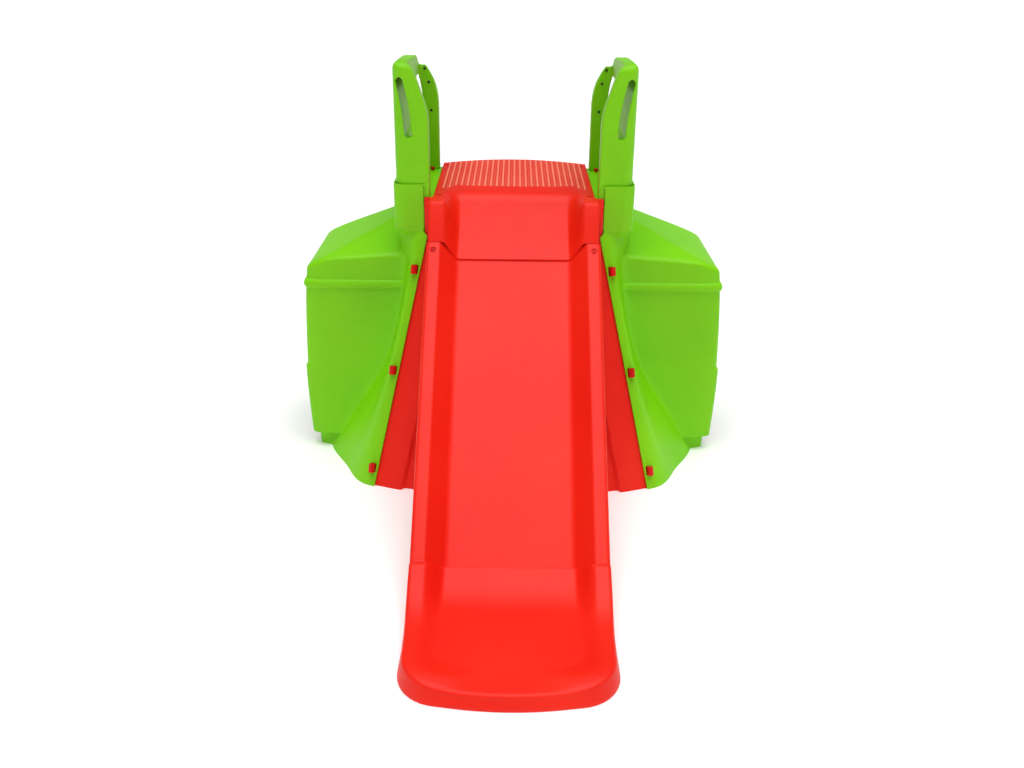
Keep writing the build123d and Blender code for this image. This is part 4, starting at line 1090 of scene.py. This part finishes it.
# %% Anti-slip pads by Geometry Nodes
def pad_mesh(name, length, width, height):
    """A low pad with sloping sides, its foot just inside the deck's surface."""
    rings = []
    for share, z in ((1.0, -0.3), (1.0, 0.25 * height), (0.72, height)):
        rings.append([(x * width / 2 * (share if width < length else 1), y * length / 2, z)
                      for x, y in ((-1, -share), (1, -share), (1, share), (-1, share))])
    mesh = bpy.data.meshes.new(name)
    points = [tuple(c * M for c in p) for ring in rings for p in ring]
    faces = grid_faces(3, 4, ring=True) + [(11, 10, 9, 8), (0, 1, 2, 3)]
    mesh.from_pydata(points, [], [tuple(reversed(f)) for f in faces])
    mesh.validate()
    return outwards(link(name, mesh))


def pattern_tree(name):
    """Sets an object on every vertex of a mesh: inputs are the object and the material."""
    tree = bpy.data.node_groups.new(name, "GeometryNodeTree")
    sockets = {}
    for label, kind in (("Geometry", "NodeSocketGeometry"), ("Pad", "NodeSocketObject"),
                        ("Material", "NodeSocketMaterial"), ("Lift", "NodeSocketFloat")):
        sockets[label] = tree.interface.new_socket(label, in_out="INPUT", socket_type=kind).identifier
    tree.interface.new_socket("Geometry", in_out="OUTPUT", socket_type="NodeSocketGeometry")
    source = tree.nodes.new("NodeGroupInput")
    target = tree.nodes.new("NodeGroupOutput")
    points = tree.nodes.new("GeometryNodeMeshToPoints")
    info = tree.nodes.new("GeometryNodeObjectInfo")
    lift = tree.nodes.new("ShaderNodeCombineXYZ")
    moved = tree.nodes.new("GeometryNodeSetPosition")
    placed = tree.nodes.new("GeometryNodeInstanceOnPoints")
    real = tree.nodes.new("GeometryNodeRealizeInstances")
    painted = tree.nodes.new("GeometryNodeSetMaterial")
    for start, end in ((source.outputs["Geometry"], points.inputs[0]),
                       (source.outputs["Pad"], info.inputs[0]),
                       (source.outputs["Lift"], lift.inputs["Z"]),
                       (points.outputs[0], moved.inputs["Geometry"]),
                       (lift.outputs[0], moved.inputs["Offset"]),
                       (moved.outputs[0], placed.inputs["Points"]),
                       (info.outputs["Geometry"], placed.inputs["Instance"]),
                       (placed.outputs[0], real.inputs[0]),
                       (real.outputs[0], painted.inputs["Geometry"]),
                       (source.outputs["Material"], painted.inputs["Material"]),
                       (painted.outputs[0], target.inputs[0])):
        tree.links.new(start, end)
    return tree, sockets


def scattered(name, places, pad, material, lift=0.0):
    """One plain mesh of a pad on each place, by way of the tree."""
    carrier = mesh_piece(name, places, [])
    tree, sockets = pattern_tree(name + "_tree")
    modifier = carrier.modifiers.new("pattern", "NODES")
    modifier.node_group = tree
    modifier[sockets["Pad"]] = pad
    modifier[sockets["Material"]] = material
    modifier[sockets["Lift"]] = lift * M
    bake_down(carrier)
    bpy.data.objects.remove(pad)
    return carrier


LINE_STEP, DASH_STEP = 18.0, 9.0
PATTERN_FRONT = -84.0
line_places, dash_places = [], []
for i in range(-12, 13):
    x = i * LINE_STEP
    rear = rear_edge(x) - 12
    front = PATTERN_FRONT + 26 * (x / 216) ** 4 - 60 * float(soft_step(abs(x), 175, 214))
    count = int((rear - front) / 36.0)
    for k in range(count):
        line_places.append((x, front + (k + 0.5) * (rear - front) / count, DECK_Z))
    for k in range(int((rear - front) / DASH_STEP)):
        if i < 12:
            dash_places.append((x + LINE_STEP / 2, front + (k + 0.5) * DASH_STEP, DECK_Z))
keep_clear = [(m[0], m[1]) for m in deck_screws]
dash_places = [p for p in dash_places if all(math.hypot(p[0] - x, p[1] - y) > 16 for x, y in keep_clear)]
print("anti-slip lines", len(line_places), "dashes", len(dash_places))

# %% [markdown]
# ## Screws
# All the screws that show have low domed heads with a cross recess. A head and its shank are
# drawn once, turned to the face that they hold, and set on each place by the same tree.

# %% Screw with a cross recess
def turned_solid(name, profile, sides=24):
    """A solid of revolution about Z from a profile in (radius, z), from foot to top."""
    rows = [[(r * math.cos(a), r * math.sin(a), z) for a in np.linspace(0, 2 * math.pi, sides + 1)[:-1]]
            for r, z in profile]
    points = [tuple(c * M for c in p) for row in rows for p in row]
    faces = grid_faces(len(rows), sides, ring=True)
    faces += [tuple(range(sides)), tuple(range(len(points) - 1, len(points) - sides - 1, -1))]
    mesh = bpy.data.meshes.new(name)
    mesh.from_pydata(points, [], faces)
    mesh.validate()
    return outwards(link(name, mesh))


def block(name, size, lift):
    """A small box about the Z axis whose foot is at `lift`."""
    half = [c * M / 2 for c in size]
    points = [(sx * half[0], sy * half[1], lift * M + (0 if sz < 0 else size[2] * M))
              for sx in (-1, 1) for sy in (-1, 1) for sz in (-1, 1)]
    mesh = bpy.data.meshes.new(name)
    mesh.from_pydata(points, [], [(0, 1, 3, 2), (4, 6, 7, 5), (0, 4, 5, 1), (2, 3, 7, 6), (0, 2, 6, 4),
                                  (1, 5, 7, 3)])
    return outwards(link(name, mesh))


def cross_screw(name, radius, height, shank, length, direction):
    profile = [(shank, -length), (shank, 0), (radius * 0.96, 0), (radius, height * 0.25),
               (radius * 0.94, height * 0.6), (radius * 0.76, height * 0.88), (radius * 0.4, height)]
    screw = turned_solid(name, profile)
    for size in ((radius * 1.05, radius * 0.3, height), (radius * 0.3, radius * 1.05, height)):
        cut(screw, block("cross", size, height * 0.35))
    screw.data.transform(Vector((0, 0, 1)).rotation_difference(Vector(direction)).to_matrix().to_4x4())
    screw.data.set_sharp_from_angle(angle=math.radians(40))
    return screw


deck_places = [(m[0], m[1], DECK_Z - DECK_SEAT) for m in deck_screws]
chute_places = [on_chute(x, down, CHUTE_DEPTH - SEAT_DEPTH) for x, down in CHUTE_SCREWS]
print("screws", len(deck_places), "and", len(chute_places))

# %% [markdown]
# ## Finishes
# All the big pieces are moulded polyethylene. It is a soft, waxy plastic: the colour goes right
# through, the mould leaves a fine even grain, and the gloss is broad and a little uneven where the
# mould was worn. So each finish has a slightly mottled colour, a fine bump at the grain's real
# size and a roughness that drifts. The push-in fittings are the same plastic, injection moulded,
# and so smoother. Screws and nuts are zinc-plated steel, drawn from wire, with a dull crystal.

# %% One helper that adds a node
def linear(code):
    """An sRGB hex colour as the linear RGBA that Blender's sockets take."""
    parts = [int(code[i:i + 2], 16) / 255 for i in (1, 3, 5)]
    return [p / 12.92 if p <= 0.04045 else ((p + 0.055) / 1.055) ** 2.4 for p in parts] + [1.0]


def add_node(tree, kind, settings=(), **links):
    """Adds a node, sets its properties, and fills its sockets with values or other sockets."""
    node = tree.nodes.new(kind)
    for key, value in dict(settings).items():
        setattr(node, key, value)
    for name, value in links.items():
        socket = node.inputs[int(name[1:])] if name[0] == "_" else node.inputs[name.replace("_", " ")]
        if isinstance(value, bpy.types.NodeSocket):
            tree.links.new(value, socket)
        else:
            socket.default_value = value
    return node


def new_material(name):
    material = bpy.data.materials.new(name)
    material.use_nodes = True
    material.node_tree.nodes.clear()
    return material, material.node_tree


def per_mm(size):
    """Noise scale whose features are about `size` millimetres across."""
    return 1.0 / (size * M)


# %% Moulded polyethylene
def moulded_polyethylene(name, base, pale, deep, grain=1.6, rough=0.46, bump=0.10,
                         gloss_level=0.28):
    """Base colour, the paler and deeper tones it drifts between, mould grain in millimetres."""
    material, tree = new_material(name)
    place = add_node(tree, "ShaderNodeTexCoord").outputs["Object"]
    clouds = add_node(tree, "ShaderNodeTexNoise", Vector=place, Scale=per_mm(260), Detail=2.0, Roughness=0.4)
    specks = add_node(tree, "ShaderNodeTexNoise", Vector=place, Scale=per_mm(9), Detail=2.0)
    colour = add_node(tree, "ShaderNodeValToRGB", _0=clouds.outputs[0])
    ramp = colour.color_ramp
    ramp.elements[0].position, ramp.elements[1].position = 0.25, 0.78
    ramp.elements[0].color, ramp.elements[1].color = linear(deep), linear(pale)
    middle = ramp.elements.new(0.5)
    middle.color = linear(base)
    edges = add_node(tree, "ShaderNodeNewGeometry").outputs["Pointiness"]
    # Painted highlight: convex edges, found by pointiness, are painted up to a fifth of the way towards the
    # paler tone.
    edge_highlight_share = add_node(tree, "ShaderNodeMapRange", _0=edges, _1=0.52, _2=0.62, _3=0.0, _4=0.20)
    edge_highlighted_colour = add_node(tree, "ShaderNodeMix", {"data_type": "RGBA"}, _0=edge_highlight_share.outputs[0], _6=colour.outputs[0],
                    _7=linear(pale))
    gloss = add_node(tree, "ShaderNodeMapRange", _0=specks.outputs[0], _1=0.3, _2=0.7, _3=rough - 0.04,
                     _4=rough + 0.05)
    fine = add_node(tree, "ShaderNodeTexNoise", Vector=place, Scale=per_mm(grain), Detail=2.0, Roughness=0.6)
    relief = add_node(tree, "ShaderNodeBump", Strength=bump, Distance=0.0004, Height=fine.outputs[0])
    shader = add_node(tree, "ShaderNodeBsdfPrincipled", Base_Color=edge_highlighted_colour.outputs[2],
                      Roughness=gloss.outputs[0], Normal=relief.outputs[0], IOR=1.45)
    shader.inputs["Specular IOR Level"].default_value = gloss_level
    add_node(tree, "ShaderNodeOutputMaterial", Surface=shader.outputs[0])
    return material


def zinc_plated_steel(name, dark="#A9ADB2", light="#C9CCD0"):
    """Dull bluish grey with a fine crystal that breaks up its shine."""
    material, tree = new_material(name)
    place = add_node(tree, "ShaderNodeTexCoord").outputs["Object"]
    crystal = add_node(tree, "ShaderNodeTexVoronoi", Vector=place, Scale=per_mm(1.2))
    tone = add_node(tree, "ShaderNodeValToRGB", _0=crystal.outputs["Distance"])
    tone.color_ramp.elements[0].color = linear(dark)
    tone.color_ramp.elements[1].color = linear(light)
    gloss = add_node(tree, "ShaderNodeMapRange", _0=crystal.outputs["Distance"], _1=0.0, _2=0.8,
                     _3=0.28, _4=0.42)
    shader = add_node(tree, "ShaderNodeBsdfPrincipled", Base_Color=tone.outputs[0],
                      Roughness=gloss.outputs[0], Metallic=1.0)
    add_node(tree, "ShaderNodeOutputMaterial", Surface=shader.outputs[0])
    return material


GREEN = moulded_polyethylene("green_moulded_polyethylene", "#80D600", "#86DA02", "#7AD000")
RED = moulded_polyethylene("red_moulded_polyethylene", "#F2210E", "#F52812", "#EE1B0B")
# Painted highlight: the anti-slip ridges and dashes are the deck's own red, painted paler for the light that
# they catch.
RIDGE_PAINTED_HIGHLIGHT = moulded_polyethylene("red_polyethylene_painted_highlight_ridges", "#FF8A72", "#FF967E", "#FC7C66", rough=0.5)
DASH_PAINTED_HIGHLIGHT = moulded_polyethylene("red_polyethylene_painted_highlight_dashes", "#E8543E", "#EE5E48", "#E24A36", rough=0.55)
FITTING = moulded_polyethylene("red_injection_moulded_polyethylene", "#D8100C", "#E01812", "#C80A0A",
                               grain=0.8, rough=0.34, bump=0.05)
ZINC = zinc_plated_steel("zinc_plated_steel_wire")
# Painted shade: the handrail's screws are painted near black with a green cast, in place of the shade in the
# deep holes that they sit in.
ZINC_PAINTED_SHADE = zinc_plated_steel("zinc_plated_steel_painted_shade", "#33382E", "#4A5044")
print("materials", [m.name for m in bpy.data.materials])

# %% Deck pattern, screws and the pieces' nodes
lines = scattered("deck_ridges", line_places, pad_mesh("ridge_pad", 38.0, 5.4, 0.9), RIDGE_PAINTED_HIGHLIGHT)
dashes = scattered("deck_dashes", dash_places, pad_mesh("dash_pad", 5.6, 8.4, 0.6), DASH_PAINTED_HIGHLIGHT)
deck_head = cross_screw("deck_screw", 6.8, 2.4, 3.0, 30, (0, 0, 1))
deck_heads = scattered("deck_screw_set", deck_places, deck_head, FITTING)
chute_head = cross_screw("chute_screw", 6.6, 3.0, 3.0, 16, SQUARE)
chute_heads = scattered("chute_screw_set", chute_places, chute_head, FITTING)
RAIL_SCREWS, RAIL_FACE = [(272, 1030), (278, 1118), (290, 1160)], 187.0
rail_heads = []
for side, sign in (("right", 1), ("left", -1)):
    places = [(sign * x, RAIL_FACE, z) for x, z in RAIL_SCREWS]
    screw = cross_screw(side + "_rail_screw", 4.6, 2.0, 1.8, 12, (0, -1, 0))
    heads = scattered(side + "_rail_screw_set", places, screw, ZINC_PAINTED_SHADE)
    rail_heads.append((heads, side + "_handrail_screws"))
deck = joined("deck_moulding", [deck] + ears)
for piece in (deck, lines, dashes):
    print(piece.name, "faces", len(piece.data.polygons))
mouldings = [(right_shell, "right_side_shell"), (left_shell, "left_side_shell"),
             (right_rail, "right_handrail"), (left_rail, "left_handrail"), (deck, "deck"),
             (chute, "slide_chute"), (toe, "slide_toe"), (front_panel, "front_panel"),
             (rear_panel, "rear_climb_panel")]
trim = [(lines, "deck", RIDGE_PAINTED_HIGHLIGHT, "red_polyethylene"), (dashes, "deck", DASH_PAINTED_HIGHLIGHT, "red_polyethylene"),
        (deck_heads, "deck_screws", FITTING, "red_fittings"),
        (chute_heads, "chute_screws", FITTING, "red_fittings")]
trim += [(piece, node, ZINC_PAINTED_SHADE, "zinc_plated_steel") for piece, node in rail_heads]

# %% Light values
FLOOR_GLOW = 0.12
SKY_TOP, SKY_RIM = 0.12, 0.85
CAMERA_ROLL = 0.65
SAIL_STRENGTH, SAIL_WIDTH, SAIL_FROM = 3.0, 60.0, (0.03, -0.12, 1.0)
SOFT_BOXES = [
    ("front_box", (0.0, -3.4, 3.0), (0, 0.1, 0.5), (2.4, 1.6), 3.0),
]

# %% [markdown]
# ## Putting the pieces on the frame
# Nothing on the slide moves, so every piece rides on the one body. Each drawn piece stands for
# the frame's node of the same part, which is hidden, and is given its finish.

# %% Rides and finishes
def finished(piece, material):
    piece.data.materials.clear()
    piece.data.materials.append(material)
    return piece


def stands_for(piece, node, material):
    finished(piece, material)
    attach(piece, "root")
    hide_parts(node)


for piece, node in mouldings:
    green = "shell" in node or "handrail" in node
    stands_for(piece, node, GREEN if green else RED)

for piece, node, material, slot in trim:
    stands_for(piece, node, material)

NODE_FINISH = {"pegs": FITTING, "pins": FITTING, "deck_screws": FITTING, "chute_screws": FITTING,
               "toe_screws": ZINC, "nuts": ZINC}
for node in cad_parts:
    for ending, material in NODE_FINISH.items():
        if node.endswith(ending):
            finished(bpy.data.objects[node], material)
print("pieces", [piece.name for piece, _ in mouldings])

# %% [markdown]
# ## Studio
# The slide stands in an even white studio: a faintly glowing white sweep, a sky that is bright
# only near the horizon, one broad overhead sail that keeps the tops and the chute brighter than
# the sides, and a weak soft box in front.

# %% Floor, sky and lights
floor_mesh = bpy.data.meshes.new("studio_floor")
FLOOR_REACH = 30.0
corners = [(x * FLOOR_REACH, y * FLOOR_REACH, 0) for x, y in ((-1, -1), (1, -1), (1, 1), (-1, 1))]
floor_mesh.from_pydata(corners, [], [(0, 1, 2, 3)])
studio_floor = link("studio_floor", floor_mesh)
PAPER, tree = new_material("white_paper_sweep")
place = add_node(tree, "ShaderNodeTexCoord").outputs["Object"]
mottle = add_node(tree, "ShaderNodeTexNoise", Vector=place, Scale=2.0)
tone = add_node(tree, "ShaderNodeValToRGB", _0=mottle.outputs[0])
tone.color_ramp.elements[0].color = linear("#F8F8F8")
tone.color_ramp.elements[1].color = linear("#FFFFFF")
shader = add_node(tree, "ShaderNodeBsdfPrincipled", Base_Color=tone.outputs[0], Roughness=0.9)
shader.inputs["Emission Color"].default_value = (1, 1, 1, 1)
shader.inputs["Emission Strength"].default_value = FLOOR_GLOW
add_node(tree, "ShaderNodeOutputMaterial", Surface=shader.outputs[0])
finished(studio_floor, PAPER)

sky = bpy.data.worlds.new("studio_sky")
bpy.context.scene.world = sky
sky.use_nodes = True
look = add_node(sky.node_tree, "ShaderNodeTexCoord").outputs["Generated"]
height = add_node(sky.node_tree, "ShaderNodeSeparateXYZ", Vector=look).outputs["Z"]
strength = add_node(sky.node_tree, "ShaderNodeMapRange", _0=height, _1=0.10, _2=0.22, _3=SKY_RIM, _4=SKY_TOP)
glow = sky.node_tree.nodes["Background"]
glow.inputs["Color"].default_value = (1, 1, 1, 1)
sky.node_tree.links.new(strength.outputs[0], glow.inputs["Strength"])


def soft_box(name, place, target, size, power):
    """A rectangular lamp at a place, facing its target."""
    light = bpy.data.lights.new(name, "AREA")
    light.shape = "RECTANGLE"
    light.size, light.size_y = size
    light.energy = power
    lamp = bpy.data.objects.new(name, light)
    bpy.context.scene.collection.objects.link(lamp)
    lamp.location = place
    lamp.rotation_euler = (Vector(target) - Vector(place)).to_track_quat("-Z", "Y").to_euler()
    return lamp


for name, place, target, size, power in SOFT_BOXES:
    soft_box(name, place, target, size, power)
overhead = bpy.data.lights.new("overhead_sail", "SUN")
overhead.energy, overhead.angle = SAIL_STRENGTH, math.radians(SAIL_WIDTH)
sail = bpy.data.objects.new("overhead_sail", overhead)
bpy.context.scene.collection.objects.link(sail)
sail.rotation_euler = Vector(SAIL_FROM).to_track_quat("Z", "Y").to_euler()

# %% Camera
CAMERA_BACK, CAMERA_HEIGHT, CAMERA_TILT = 3.12, 1.55, 24.27  # metres from the tower, metres, degrees
camera_data = bpy.data.cameras.new("camera")
camera_data.sensor_width = 36.0
camera_data.lens = 35.0
camera = bpy.data.objects.new("camera", camera_data)
bpy.context.scene.collection.objects.link(camera)
camera.location = (0.0, TOWER_Y - CAMERA_BACK, CAMERA_HEIGHT)
tilt = Matrix.Rotation(math.radians(90 - CAMERA_TILT), 3, "X")
roll = Matrix.Rotation(math.radians(CAMERA_ROLL), 3, "Z")
camera.rotation_euler = (tilt @ roll).to_euler()
bpy.context.scene.camera = camera
bpy.context.scene.view_settings.view_transform = "Standard"
